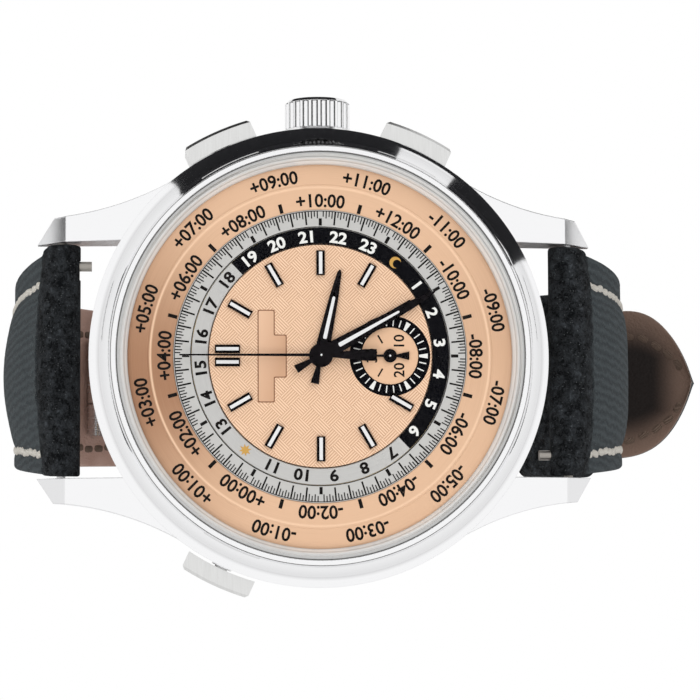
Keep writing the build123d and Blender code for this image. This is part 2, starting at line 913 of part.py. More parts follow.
def hour_markers():
    blocks = []
    length = marker_outer - marker_inner
    for hour in range(12):
        if hour == 6:
            continue
        offsets = (-marker_pair_offset, marker_pair_offset) if hour == 0 else (0,)
        for offset in offsets:
            bar = Pos(offset, (marker_inner + marker_outer) / 2, dial_top + marker_height / 2) * Box(
                marker_width, length, marker_height
            )
            bar = chamfer(bar.edges().filter_by(Axis.Y).group_by(Axis.Z)[-1], marker_height / 3)
            blocks.append(aimed(bar, 30 * hour))
    return blocks


# Hands, their pipes and the wheels behind the dial
minute_wheel_spot = place(motion_spread, minute_wheel_heading)
cannon_pitch = motion_spread * cannon_teeth / (cannon_teeth + minute_wheel_teeth)
hour_pitch = motion_spread * hour_wheel_teeth / (hour_wheel_teeth + minute_pinion_teeth)
cannon_level = plate_top + air
hour_level = cannon_level + motion_wheel_thick + air


def meshed_phase(teeth, own_teeth, heading, phase=0.0):
    """The turn that puts a gap of this wheel on the other wheel's tooth, on the line between them."""
    step = 360.0 / own_teeth
    other_step = 360.0 / teeth
    offset = ((heading - phase) % other_step) / other_step
    return heading + 180 + step * (0.5 + offset)


def hour_hand():
    outline = [
        (-hand_tail_length, hand_tail_half),
        (-hand_hub_radius, hand_waist_half),
        (hand_hub_radius, hour_hand_root_half),
        (hour_hand_length - hour_hand_root_half * 4, hour_hand_tip_half + hand_waist_half / 2),
        (hour_hand_length - hour_hand_tip_half, hand_waist_half),
        (hour_hand_length, hand_waist_half / 3),
    ]
    blade = hand_blade(outline, hand_hub_radius, hour_hand_level)
    bore = Pos(0, 0, hour_hand_level - overrun / 2) * Cylinder(cannon_radius + fit, overrun * 2)
    return aimed(blade - bore, hour_hand_heading)


def hour_wheel():
    wheel = gear(hour_wheel_teeth, hour_pitch, hour_level, hour_level + motion_wheel_thick)
    collar = pipe(hour_pipe_radius, 0, hour_level, hour_hand_level)
    bore = pipe(cannon_radius + fit, 0, hour_level - overrun, hour_hand_level + overrun)
    return wheel + collar - bore


def minute_hand():
    outline = [
        (-hand_tail_length, hand_tail_half),
        (-hand_hub_radius, hand_waist_half),
        (hand_hub_radius, minute_hand_root_half),
        (minute_hand_shoulder, minute_hand_tip_half),
        (minute_hand_length - minute_hand_root_half, hand_waist_half),
        (minute_hand_length, hand_waist_half / 3),
    ]
    blade = hand_blade(outline, hand_hub_radius, minute_hand_level)
    bore = Pos(0, 0, minute_hand_level) * Cylinder(arbor_radius + fit, overrun)
    return aimed(blade - bore, minute_hand_heading)


def centre_wheel():
    """The minute arbor: centre wheel and barrel pinion behind the plate, cannon pinion in front."""
    teeth_top = centre_wheel_level + train_wheel_thick
    wheel = gear(centre_wheel_teeth, centre_wheel_radius, centre_wheel_level, teeth_top)
    pinion_pitch = barrel_spread * centre_pinion_teeth / (centre_pinion_teeth + barrel_teeth)
    pinion_top = barrel_bottom + barrel_tooth_thick + air
    pinion = gear(centre_pinion_teeth, pinion_pitch, teeth_top, pinion_top, 0, barrel_heading)
    cannon = gear(
        cannon_teeth, cannon_pitch, cannon_level, cannon_level + motion_wheel_thick, 0, minute_wheel_heading
    )
    arbor = pipe(cannon_radius, 0, centre_wheel_level, minute_hand_level)
    body = wheel + pinion + cannon + arbor
    return body - pipe(arbor_radius + fit, 0, centre_wheel_level - overrun, minute_hand_level + overrun)


def minute_wheel():
    x, y = minute_wheel_spot
    wheel_pitch = motion_spread - cannon_pitch
    pinion_pitch = motion_spread - hour_pitch
    wheel_phase = meshed_phase(cannon_teeth, minute_wheel_teeth, minute_wheel_heading, minute_wheel_heading)
    pinion_phase = meshed_phase(hour_wheel_teeth, minute_pinion_teeth, minute_wheel_heading)
    wheel = gear(
        minute_wheel_teeth, wheel_pitch, cannon_level, cannon_level + motion_wheel_thick, 0, wheel_phase
    )
    pinion = gear(
        minute_pinion_teeth,
        pinion_pitch,
        cannon_level + motion_wheel_thick,
        hour_level + motion_wheel_thick,
        0,
        pinion_phase,
    )
    bore = pipe(stud_radius + fit, 0, plate_top, dial_top)
    return Pos(x, y, 0) * (wheel + pinion - bore)


def chrono_seconds_hand():
    outline = [
        (-seconds_tail_length, seconds_tail_half),
        (-seconds_tail_length * 4 / 5, seconds_tail_half),
        (-seconds_hub_radius, hand_waist_half),
        (seconds_hub_radius, seconds_hand_half),
        (seconds_hand_length, seconds_hand_half / 2),
    ]
    return hand_blade(outline, seconds_hub_radius, seconds_hand_level)


def chrono_wheel():
    arbor = pipe(arbor_radius, 0, bridge_bottom, seconds_hand_level)
    top = seconds_wheel_level + train_wheel_thick
    return arbor + gear(centre_wheel_teeth, seconds_wheel_radius, seconds_wheel_level, top)


def counter_hand():
    outline = [
        (-counter_tail_length, counter_tail_half),
        (-counter_hub_radius, counter_hand_half),
        (counter_hub_radius, counter_hand_half),
        (counter_hand_length, counter_hand_half / 2),
    ]
    blade = hand_blade(outline, counter_hub_radius, counter_hand_level)
    arbor = pipe(arbor_radius, 0, plate_top - bridge_thick, counter_hand_level)
    return Pos(0, -counter_reach, 0) * (blade + arbor)


# Movement
balance_spot = place(balance_reach, balance_heading)
escape_spot = place(escape_spread, balance_heading + escape_turn)
barrel_spot = place(barrel_spread, barrel_heading)
column_spot = place(column_reach, column_heading)


def between(first, second, share):
    """The point this share of the way from the first spot to the second."""
    return tuple(a + (b - a) * share for a, b in zip(first, second))


fork_span = hypot(balance_spot[0] - escape_spot[0], balance_spot[1] - escape_spot[1])
fork_spot = between(balance_spot, escape_spot, fork_spread / fork_span)
jewel_spots = (
    escape_spot,
    place(screw_ring_radius * 3 / 4, barrel_heading - 75),
    place(screw_ring_radius / 2, barrel_heading + 110),
    place(screw_ring_radius * 3 / 4, barrel_heading + 85),
)
screw_headings = (12.0, 78.0, 142.0, 285.0, 325.0)


def movement_ring():
    outer = bore_radius - fit
    body = pipe(outer, outer - ring_wall, ring_bottom, dial_plate_bottom)
    start, end = plate_radius - overrun, bore_radius + overrun
    body -= rod(stem_radius + air, start, end, 0, crown_level)
    for heading in pusher_headings:
        body -= rod(pusher_stem_radius + air, start, end, heading, crown_level)
    return body


def main_plate():
    plate = pipe(plate_radius, 0, plate_bottom, plate_top)
    x, y = barrel_spot
    pocket_top = barrel_bottom + barrel_height + air
    tooth_radius = barrel_spread * barrel_teeth / (barrel_teeth + centre_pinion_teeth)
    pocket = extrude(Circle(tooth_radius + air * 2), pocket_top - plate_bottom + overrun)
    plate -= Pos(x, y, plate_bottom - overrun) * pocket
    plate -= Pos(x, y, 0) * pipe(cannon_radius + fit, 0, pocket_top - overrun, plate_top + overrun)
    pinion_room_top = barrel_bottom + barrel_tooth_thick + air * 2
    plate -= pipe(cannon_radius + air * 3, 0, plate_bottom, pinion_room_top)
    plate -= pipe(cannon_radius + fit, 0, plate_bottom - overrun, plate_top + overrun)
    plate -= Pos(*balance_spot, plate_bottom) * Cylinder(staff_radius + fit, overrun)
    plate -= Pos(*escape_spot, plate_bottom) * Cylinder(staff_radius + fit, overrun)
    plate -= Pos(*fork_spot, plate_bottom) * Cylinder(staff_radius + fit, overrun)
    plate -= Pos(0, -counter_reach, plate_top) * Cylinder(arbor_radius + fit, overrun)
    plate -= rod(stem_radius + air, stem_inner_reach - overrun / 2, plate_radius + overrun, 0, crown_level)
    room = pinion_length + air * 2
    plate -= Pos(pinion_inner_reach - air + room / 2, 0, crown_level) * Box(
        room, (pinion_radius + air) * 2, plate_top * 2
    )
    x, y = minute_wheel_spot
    return plate + Pos(x, y, 0) * pipe(stud_radius, 0, plate_top, hour_level + motion_wheel_thick)


def train_bridge():
    top = bridge_bottom + bridge_thick
    body = pipe(bridge_radius, 0, bridge_bottom, top)
    rim = pipe(bridge_radius, bridge_radius - bridge_rim, top, plate_bottom)
    body += rim
    clearance = balance_radius + air * 4
    body -= Pos(*balance_spot, bridge_bottom - overrun) * extrude(Circle(clearance), plate_bottom)
    body -= Pos(*column_spot, bridge_bottom - overrun) * extrude(Circle(column_radius + air), plate_bottom)
    body -= cock_foot_wedge(fit)
    body -= pipe(arbor_radius + fit, 0, bridge_bottom - overrun, top + overrun)
    body -= Pos(*barrel_spot, bridge_bottom) * Cylinder(cannon_radius + fit, overrun * 2)
    for spot in jewel_spots:
        body -= Pos(*spot, bridge_bottom) * Cylinder(jewel_radius, overrun * 2)
    for heading in screw_headings:
        spot = place(screw_ring_radius, heading)
        body -= Pos(*spot, bridge_bottom) * Cylinder(screw_shank_radius, overrun)
    return body


def cock_foot_wedge(play):
    """The slice of the bridge's rim that the cock's foot takes up."""
    half = cock_root_half + play * 2
    wedge = make_face(Polyline((0, 0), (bridge_radius * 2, half), (bridge_radius * 2, -half), close=True))
    return Rot(0, 0, balance_heading) * extrude(wedge, plate_bottom)


def balance_cock():
    """The arm that carries the balance, screwed to the bridge beside it."""
    x, y = balance_spot
    foot_reach = bridge_radius - bridge_rim
    blade = make_face(
        Polyline(
            (balance_reach - cock_half, -cock_half / 2),
            (balance_reach - cock_half, cock_half / 2),
            (foot_reach, cock_root_half),
            (bridge_radius - fit, cock_root_half / 2),
            (bridge_radius - fit, -cock_root_half / 2),
            (foot_reach, -cock_root_half),
            close=True,
        )
    )
    arm = Rot(0, 0, balance_heading) * (Pos(0, 0, cock_bottom) * extrude(blade, cock_thick))
    arm -= Pos(x, y, cock_bottom) * Cylinder(staff_radius + fit, overrun)
    foot = pipe(bridge_radius, bridge_radius - bridge_rim, cock_bottom, plate_bottom)
    foot &= cock_foot_wedge(0)
    return arm + foot - (Pos(x, y, cock_bottom + cock_thick) * extrude(
        Circle(balance_radius + air * 2), plate_bottom - cock_bottom - cock_thick
    ))


def jewels():
    top = bridge_bottom + bridge_thick
    rings = [Pos(*spot, 0) * pipe(jewel_radius, jewel_hole, bridge_bottom, top) for spot in jewel_spots]
    return rings


def bridge_screws():
    screws = []
    bottom = bridge_bottom - screw_head_height
    for heading in screw_headings:
        head = pipe(screw_head_radius, 0, bottom, bridge_bottom)
        slot = Pos(0, 0, bottom) * Box(screw_head_radius * 3, screw_slot, screw_slot)
        shank = pipe(screw_shank_radius, 0, bridge_bottom, bridge_bottom + bridge_thick)
        screws.append(Pos(*place(screw_ring_radius, heading), 0) * (head - slot + shank))
    return screws


def barrel():
    """The mainspring drum with its toothed rim, which drives the centre pinion."""
    x, y = barrel_spot
    tooth_radius = barrel_spread * barrel_teeth / (barrel_teeth + centre_pinion_teeth)
    phase = meshed_phase(centre_pinion_teeth, barrel_teeth, barrel_heading, barrel_heading)
    rim = gear(barrel_teeth, tooth_radius, barrel_bottom, barrel_bottom + barrel_tooth_thick, 0, phase)
    drum_radius = barrel_spread - cannon_radius - drum_gap
    drum = pipe(drum_radius, 0, barrel_bottom, barrel_bottom + barrel_height)
    return Pos(x, y, 0) * (rim + drum - pipe(cannon_radius + fit, 0, 0, plate_top))


def ratchet_wheel():
    """The ratchet wheel on the back of the bridge, with the barrel arbor it winds."""
    x, y = barrel_spot
    bottom = bridge_bottom - ratchet_thick - fit
    wheel = gear(ratchet_teeth, ratchet_radius, bottom, bottom + ratchet_thick)
    slot = Pos(0, 0, bottom) * Box(cannon_radius * 2, screw_slot, screw_slot)
    arbor = pipe(cannon_radius, 0, bottom, plate_top - air)
    return Pos(x, y, 0) * (wheel + arbor - slot)


def balance_wheel():
    x, y = balance_spot
    top = balance_level + balance_thick
    rim = pipe(balance_radius, balance_radius - balance_rim_width, balance_level, top)
    arm = Pos(0, 0, (balance_level + top) / 2) * Box(
        (balance_radius - balance_rim_width / 2) * 2, balance_rim_width, balance_thick
    )
    cross_arm = Rot(0, 0, 90) * arm
    staff = pipe(staff_radius, 0, cock_bottom, plate_bottom + overrun / 4)
    roller = pipe(balance_rim_width, 0, top, top + fit * 4)
    return Pos(x, y, 0) * (rim + arm + cross_arm + staff + roller)


def hairspring():
    """A flat spiral of thin ribbon, pinned near the cock at its outer end."""
    points = []
    steps = 12
    for step in range(hairspring_turns * steps + 1):
        share = step / (hairspring_turns * steps)
        radius = hairspring_inner + (hairspring_outer - hairspring_inner) * share
        points.append((radius, 360.0 * step / steps))
    outer = [place(radius + hairspring_wall / 2, turn) for radius, turn in points]
    inner = [place(radius - hairspring_wall / 2, turn) for radius, turn in points]
    face = make_face(Polyline(*outer, *reversed(inner), close=True))
    return Pos(*balance_spot, hairspring_level) * extrude(face, hairspring_thick)


def escape_wheel():
    x, y = escape_spot
    wheel = gear(escape_teeth, escape_radius, escape_level, escape_level + train_wheel_thick)
    staff = pipe(staff_radius, 0, bridge_bottom + fit, plate_bottom + overrun / 4)
    return Pos(x, y, 0) * (wheel + staff)


def pallet_fork():
    """The lever between escape wheel and balance, short of both wheels."""
    x, y = fork_spot
    aim = degrees(atan2(balance_spot[1] - y, balance_spot[0] - x))
    top = balance_level + balance_thick + fit * 6
    reach = fork_spread - balance_rim_width - air
    middle = top + train_wheel_thick / 2
    lever = Pos(reach / 2, 0, middle) * Box(reach, fork_half * 2, train_wheel_thick)
    arms = Pos(0, 0, middle) * Box(fork_half * 2, fork_arm_span, train_wheel_thick)
    staff = pipe(staff_radius, 0, top - fit * 4, plate_bottom + overrun / 4)
    return Pos(x, y, 0) * (Rot(0, 0, aim) * (lever + arms) + staff)


def column_wheel():
    """The pillar wheel that switches the chronograph."""
    base_bottom = column_level + bridge_thick
    body = gear(column_pillars * 2, column_radius - air * 2, base_bottom, plate_bottom - air)
    for pillar in range(column_pillars):
        x, y = place(column_radius - column_pillar_inset, 360 * pillar / column_pillars)
        body += Pos(x, y, 0) * pipe(column_pillar_radius, 0, column_level, base_bottom + fit)
    return Pos(*column_spot, 0) * body


def rotor():
    """The winding weight: a heavy half ring on a thin web, carried by its hub."""
    top = rotor_bottom + rotor_rim_thick
    rim = pipe(rotor_rim_outer, rotor_rim_inner, rotor_bottom, top)
    web = pipe(rotor_rim_inner + fit, 0, top - rotor_web_thick, top)
    half = (rim + web) & (
        Pos(0, -rotor_rim_outer, 0) * Box(rotor_rim_outer * 3, rotor_rim_outer * 2, bridge_bottom * 2)
    )
    window_reach = (rotor_hub_radius + rotor_rim_inner) / 2
    for turn in (-135, -90, -45):
        x, y = place(window_reach, turn)
        half -= Pos(x, y, rotor_bottom) * Cylinder(rotor_hub_radius * 3 / 4, bridge_bottom)
    hub = pipe(rotor_hub_radius, 0, top - rotor_web_thick * 3 / 2, top)
    return half + hub - pipe(bearing_radius + fit, 0, 0, bridge_bottom)


def rotor_bearing():
    """The bearing post on the bridge, with the washer that keeps the rotor on."""
    post = pipe(bearing_radius, 0, rotor_bottom + rotor_rim_thick - rotor_web_thick * 2, bridge_bottom)
    washer = pipe(
        rotor_hub_radius - air,
        0,
        rotor_bottom,
        rotor_bottom + rotor_rim_thick - rotor_web_thick * 3 / 2 - fit,
    )
    collar = pipe(rotor_hub_radius - air, 0, rotor_bottom + rotor_rim_thick + fit, bridge_bottom)
    return post + washer + collar - pipe(arbor_radius + fit, 0, bridge_bottom - fit * 2, plate_bottom)


# Crown, stem and pushers
def crown():
    start = crown_inner_reach
    body = rod(crown_radius, start, crown_reach, 0, crown_level)
    body = chamfer(body.edges().group_by(Axis.X)[-1], crown_bevel)
    for flute in range(crown_flutes):
        turn = 360 * flute / crown_flutes
        y = crown_radius * cos(radians(turn))
        z = crown_level + crown_radius * sin(radians(turn))
        tool = rod(crown_flute_radius, start - overrun, crown_reach - crown_bevel, 0, 0)
        body -= Pos(0, y, z) * tool
    body -= rod(crown_recess_radius, start - overrun, start + crown_recess_depth, 0, crown_level)
    return body


def winding_stem():
    root = crown_inner_reach + crown_recess_depth
    square = Pos((stem_inner_reach + stem_neck_reach) / 2, 0, crown_level) * Box(
        stem_neck_reach - stem_inner_reach, stem_square, stem_square
    )
    return rod(stem_radius, stem_neck_reach, root, 0, crown_level) + square


def crown_tube():
    return rod(crown_tube_radius, crown_tube_inner_reach, crown_tube_reach, 0, crown_level, crown_tube_bore)


def winding_pinion():
    wheel = gear(pinion_teeth, pinion_radius - air, 0, pinion_length)
    room = stem_square + fit * 2
    wheel -= Pos(0, 0, pinion_length / 2) * Box(room, room, pinion_length * 2)
    return Plane(origin=(pinion_inner_reach, 0, crown_level), x_dir=(0, 1, 0), z_dir=(1, 0, 0)) * wheel


def pusher(heading):
    height = pusher_top - pusher_bottom
    half = pusher_reach * radians(pusher_half_angle)
    ring = pipe(pusher_reach, pusher_inner_reach, pusher_bottom, pusher_top)
    block = Pos(pusher_reach, 0, pusher_bottom + height / 2) * Box(
        pusher_reach, half * 2, height + overrun
    )
    head = ring & block
    head = chamfer(head.faces().sort_by(Axis.X)[-1].edges(), pusher_bevel)
    stem = rod(pusher_stem_radius, pusher_stem_inner_reach, pusher_inner_reach + fit * 4, 0, crown_level)
    return Rot(0, 0, heading) * (head + stem)


def pusher_tubes():
    tubes = []
    for heading in pusher_headings:
        tube = rod(
            pusher_tube_radius, pusher_tube_inner_reach, middle_radius - fit, heading, crown_level,
            pusher_stem_radius + fit,
        )
        well = rod(pusher_spring_radius + fit, pusher_spring_reach, case_radius, heading, crown_level)
        tubes.append(tube - well)
    return tubes


def pusher_spring(heading):
    """The outer shape of the coil that returns one pusher."""
    return rod(
        pusher_spring_radius, pusher_spring_reach, pusher_inner_reach - air, heading, crown_level,
        pusher_spring_radius - pusher_spring_wall,
    )


def build():
    save("case_middle", case_middle())
    save("case_back", case_back())
    save("case_back_window", pipe(window_radius, 0, 0, window_thick))
    save("bezel", bezel())
    save("crystal", crystal())
    save("gaskets", gaskets())
    save("flange_ring", flange_ring())
    save("movement_ring", movement_ring())
    save("main_plate", main_plate())
    save("train_bridge", train_bridge())
    save("balance_cock", balance_cock())
    save("jewels", jewels())
    save("bridge_screws", bridge_screws())
    save("rotor_bearing", rotor_bearing())
    save("dial_plate", dial_plate())
    save("dial_centre", dial_centre())
    save("counter_dial", counter_dial())
    save("minute_track_ring", minute_track_ring())
    save("hour_markers", hour_markers())
    save("day_night_disc", day_night_disc())
    save("city_disc", city_disc())
    save("hour_hand", hour_hand())
    save("hour_wheel", hour_wheel())
    save("minute_hand", minute_hand())
    save("centre_wheel", centre_wheel())
    save("minute_wheel", minute_wheel())
    save("chrono_seconds_hand", chrono_seconds_hand())
    save("chrono_wheel", chrono_wheel())
    save("counter_hand", counter_hand())
    save("barrel", barrel())
    save("ratchet_wheel", ratchet_wheel())
    save("balance_wheel", balance_wheel())
    save("hairspring", hairspring())
    save("escape_wheel", escape_wheel())
    save("pallet_fork", pallet_fork())
    save("column_wheel", column_wheel())
    save("rotor", rotor())
    save("crown", crown())
    save("winding_stem", winding_stem())
    save("winding_pinion", winding_pinion())
    save("case_tubes", [crown_tube()] + pusher_tubes())
    for name, heading in zip(pusher_names, pusher_headings):
        save(name, pusher(heading))
        save(name + "_spring", pusher_spring(heading))
    long_cover, long_lining = strap_pieces(long_rows, 1, flat_row[0], True)
    for tool in strap_holes():
        long_cover -= tool
        long_lining -= tool
    save("strap_12_cover", long_cover)
    save("strap_12_lining", long_lining)
    short_cover, short_lining = strap_pieces(short_rows, -1, short_rows[-1][0], False)
    end_pin = cross_rod(end_pin_radius, strap_end_width / 2 + air + ear_wall, pin_y, pin_z)
    end_loop = cross_rod(end_loop_radius, strap_end_width / 2, pin_y, pin_z)
    short_cover = short_cover + (end_loop - short_lining) - end_pin
    short_lining -= end_pin
    save("strap_6_cover", short_cover)
    save("strap_6_lining", short_lining)
    save("clasp_end_pin", end_pin)
    save("strap_keeper", keeper())
    for side, hour in ((1, "12"), (-1, "6")):
        save("spring_bar_" + hour, spring_bar(side))
        save("release_pin_" + hour, release_pin(side))
    save("clasp_base", clasp_base())
    save("clasp_blade", clasp_blade())
    save("clasp_tang", tang())


build()
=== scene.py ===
import math
from functools import partial
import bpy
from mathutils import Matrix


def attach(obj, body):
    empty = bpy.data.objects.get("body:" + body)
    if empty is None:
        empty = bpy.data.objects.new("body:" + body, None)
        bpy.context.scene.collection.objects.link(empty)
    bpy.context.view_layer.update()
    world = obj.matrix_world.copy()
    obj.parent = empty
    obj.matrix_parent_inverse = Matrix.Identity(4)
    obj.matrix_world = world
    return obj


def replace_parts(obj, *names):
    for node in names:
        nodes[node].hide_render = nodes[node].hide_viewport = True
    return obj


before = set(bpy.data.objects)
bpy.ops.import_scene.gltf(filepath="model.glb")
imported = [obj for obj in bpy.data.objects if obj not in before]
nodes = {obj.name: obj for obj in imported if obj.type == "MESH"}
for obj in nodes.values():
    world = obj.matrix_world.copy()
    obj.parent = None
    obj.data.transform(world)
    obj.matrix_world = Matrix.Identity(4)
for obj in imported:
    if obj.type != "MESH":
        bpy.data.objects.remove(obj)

from types import SimpleNamespace

import bmesh
import bpy
import numpy as np
from mathutils import Matrix, Vector

for spare in ("Cube", "Light", "Camera"):
    if spare in bpy.data.objects:
        bpy.data.objects.remove(bpy.data.objects[spare])
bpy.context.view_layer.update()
mm = 0.001


def newObject(name, data):
    thing = bpy.data.objects.new(name, data)
    bpy.context.scene.collection.objects.link(thing)
    return thing


# camera: it stands off the dial along a slightly tilted line, rolled about its own view line
cameraLook = dict(
    distance=230.0, tiltX=4.325, tiltY=3.488, roll=-0.22, shiftX=0.509, shiftY=-2.598, pixelsPerMm=11.29,
    dialHeight=9.9, frameWidth=700, sensor=36.0, clip=(0.01, 10.0))


def aimCamera(distance, tiltX, tiltY, roll, shiftX, shiftY, pixelsPerMm, dialHeight, frameWidth, sensor,
              clip):
    centre = Vector((0, 0, dialHeight)) * mm
    away = Vector((-math.tan(math.radians(tiltX)), math.tan(math.radians(tiltY)), 1)).normalized()
    eye = centre + away * distance * mm
    forward = (centre + Vector((shiftX, shiftY, 0)) * mm - eye).normalized()
    right = forward.cross(Vector((1, 0, 0))).normalized()
    up = right.cross(forward)
    turn = math.radians(roll)
    rolledRight = right * math.cos(turn) + up * math.sin(turn)
    rolledUp = up * math.cos(turn) - right * math.sin(turn)
    data = bpy.data.cameras.new("photoCamera")
    data.sensor_width = sensor
    data.lens = pixelsPerMm * distance / frameWidth * sensor
    data.clip_start, data.clip_end = clip
    camera = newObject("photoCamera", data)
    axes = (*rolledRight, 0), (*rolledUp, 0), (*-forward, 0), (0, 0, 0, 1)
    camera.matrix_world = Matrix(axes).transposed()
    camera.location = eye
    bpy.context.scene.camera = camera


# shader helpers: those that take sockets find the node tree from them
def colour(red, green, blue):
    # screen values 0-255 to linear light
    share = np.array([red, green, blue]) / 255.0
    linear = np.where(share <= 0.04045, share / 12.92, ((share + 0.055) / 1.055) ** 2.4)
    return (*linear.tolist(), 1.0)


def scaled(tone, share):
    # the same colour, darker or lighter
    return (*(min(1.0, value * share) for value in tone[:3]), 1.0)


def fill(sockets, values):
    # an input takes either a value or a link from another socket
    for key, value in values.items():
        if isinstance(value, bpy.types.NodeSocket):
            value.id_data.links.new(value, sockets[key])
        else:
            sockets[key].default_value = value


def put(tree, kind, inputs=None, **settings):
    # a new node with its inputs filled by name or number
    node = tree.nodes.new("ShaderNode" + kind)
    for key, value in settings.items():
        setattr(node, key, value)
    fill(node.inputs, inputs or {})
    return node


def join(kind, *values, **settings):
    # a node whose inputs are filled in order, in the tree of the first socket among them
    tree = next(value.id_data for value in values if isinstance(value, bpy.types.NodeSocket))
    return put(tree, kind, dict(enumerate(values)), **settings).outputs


def maths(operation, *values, clamp=False):
    return join("Math", *values, operation=operation, use_clamp=clamp)[0]


times, plus, minus, over, power, highest = (
    partial(maths, name) for name in ("MULTIPLY", "ADD", "SUBTRACT", "DIVIDE", "POWER", "MAXIMUM"))
isAbove, isBelow = partial(maths, "GREATER_THAN"), partial(maths, "LESS_THAN")


def ramp(*values, **settings):
    return join("MapRange", *values, **settings)[0]


smoothRamp = partial(ramp, interpolation_type="SMOOTHSTEP")


def blend(factor, first, second):
    return put(factor.id_data, "Mix", {0: factor, 2: first, 3: second}).outputs[0]


def mixColour(factor, first, second):
    return put(factor.id_data, "Mix", {0: factor, 6: first, 7: second}, data_type="RGBA").outputs[2]


def vector(*values):
    return join("CombineXYZ", *values)[0]


def parted(place):
    return join("SeparateXYZ", place)


def noise(place, scale, detail, **more):
    inputs = {"Vector": place, "Scale": scale, "Detail": detail, **more}
    return put(place.id_data, "TexNoise", inputs).outputs["Fac"]


def bump(height, depth, **more):
    return put(height.id_data, "Bump", {"Height": height, "Distance": depth * mm, **more}).outputs[0]


def millimetres(tree):
    # object coordinates in millimetres
    place = put(tree, "TexCoord").outputs["Object"]
    return join("VectorMath", place, (1 / mm,) * 3, operation="MULTIPLY")[0]


def dress(material, **sockets):
    # values or links for the material's shader; an underscore stands for a space
    shader = material.node_tree.nodes["Principled BSDF"]
    fill(shader.inputs, {key.replace("_", " "): value for key, value in sockets.items()})
    return material


def newMaterial(name, **sockets):
    material = bpy.data.materials.new(name)
    material.use_nodes = True
    return dress(material, **sockets), material.node_tree


def fadeTo(material, share, other):
    # the material's shader gives way to another one by a share
    tree = material.node_tree
    shaders = {0: share, 1: tree.nodes["Principled BSDF"].outputs[0], 2: other.outputs[0]}
    fill(tree.nodes["Material Output"].inputs, {0: put(tree, "MixShader", shaders).outputs[0]})
    return material


def newGroup(name, inputs, outputs):
    # a shader node group with its two ends; every socket but the normal is a plain number
    tree = bpy.data.node_groups.new(name, "ShaderNodeTree")
    for key, value in inputs.items():
        tree.interface.new_socket(key, in_out="INPUT", socket_type="NodeSocketFloat").default_value = value
    for key in outputs:
        kind = "NodeSocketVector" if key == "Normal" else "NodeSocketFloat"
        tree.interface.new_socket(key, in_out="OUTPUT", socket_type=kind)
    return tree, tree.nodes.new("NodeGroupInput").outputs, tree.nodes.new("NodeGroupOutput").inputs


def useGroup(tree, group, inputs):
    return put(tree, "Group", inputs, node_tree=group).outputs


def makeEdgeWear():
    # where the rounded normal leaves the flat one lies an edge; its mask is used for painted edge highlights
    # and painted edge shade, and its normal rounds the edge
    tree, start, end = newGroup("edgeWear", {"Width mm": 0.12}, ("Mask", "Normal"))
    rounded = put(tree, "Bevel", {"Radius": times(start["Width mm"], mm)}, samples=4).outputs[0]
    flat = put(tree, "NewGeometry").outputs["Normal"]
    dot = join("VectorMath", rounded, flat, operation="DOT_PRODUCT")["Value"]
    fill(end, {"Mask": times(minus(1.0, dot), 3.0, clamp=True), "Normal": rounded})
    return tree


def makeSmudges():
    # two sizes of soft noise, as on a handled polished surface
    tree, start, end = newGroup("smudges", {"Scale": 0.35}, ("Mask",))
    place = millimetres(tree)
    both = times(noise(place, start["Scale"], 4.0), noise(place, 6.0, 3.0))
    fill(end, {"Mask": times(both, 2.0, clamp=True)})
    return tree


def makeBrushing():
    # noise drawn out along one direction, straight or round the centre
    tree, start, end = newGroup(
        "brushing", {"Centre X": 0.0, "Centre Y": 0.0, "Round": 1.0, "Turn": 0.0, "Fineness": 14.0},
        ("Grain", "Radius", "Angle"))
    centre = vector(start["Centre X"], start["Centre Y"])
    place = join("VectorMath", millimetres(tree), centre, operation="SUBTRACT")[0]
    turned = put(tree, "VectorRotate", {"Vector": place, "Angle": start["Turn"]}, rotation_type="Z_AXIS")
    x, y, _ = parted(turned.outputs[0])
    radius = maths("SQRT", plus(times(x, x), times(y, y)))
    angle = maths("ARCTAN2", y, x)
    across = blend(start["Round"], x, radius)
    along = blend(start["Round"], times(y, 0.4), times(angle, 2.0))
    grain = noise(vector(times(across, start["Fineness"]), along), 1.0, 3.0)
    fill(end, {"Grain": grain, "Radius": radius, "Angle": angle})
    return tree


def makeClothWeave():
    # ribs that slant across the strap, a fine nap, coarse tufts for the wrapped root and pale flecks
    tree, start, end = newGroup("clothWeave", {"Rib pitch": 0.7, "Slant": 0.3, "Nap": 5.0},
                                ("Height", "Fleck", "Rib", "Tuft", "Pleat"))
    uv = put(tree, "UVMap").outputs[0]
    along, across, _ = parted(uv)
    wobble = noise(uv, 0.7, 3.0)
    slanted = plus(plus(across, times(along, start["Slant"])), times(wobble, 0.9))
    wave = maths("SINE", times(over(slanted, start["Rib pitch"]), 2 * math.pi))
    rib = plus(times(wave, 0.5), 0.5)
    place = millimetres(tree)
    nap = noise(place, start["Nap"], 6.0, Roughness=0.7)
    fine = noise(place, 3.0, 5.0, Roughness=0.78, Distortion=1.2)
    both = plus(times(fine, 0.65), times(noise(place, 1.1, 2.0), 0.35))
    specks = put(tree, "TexVoronoi", {"Vector": place, "Scale": 5.5}).outputs
    fleck = times(isAbove(parted(specks["Color"])[0], 0.86), isBelow(specks["Distance"], 0.28))
    # pleats beside the crease: thin lines across the strap, broken by noise
    ripple = maths("SINE", plus(times(along, 26.0), times(wobble, 30.0)))
    fill(end, {"Height": plus(times(rib, 0.8), times(nap, 0.9)), "Fleck": fleck,
               "Rib": plus(times(rib, 0.55), minus(nap, 0.25), clamp=True), "Tuft": ramp(both, 0.44, 0.6),
               "Pleat": times(isAbove(ripple, 0.3), isAbove(nap, 0.5))})
    return tree


edgeWear, smudges, brushing, clothWeave = makeEdgeWear(), makeSmudges(), makeBrushing(), makeClothWeave()
print("shader groups ready")


# finishes
def brushOf(tree, fineness, isRound=1.0):
    return useGroup(tree, brushing, {"Round": isRound, "Fineness": fineness})


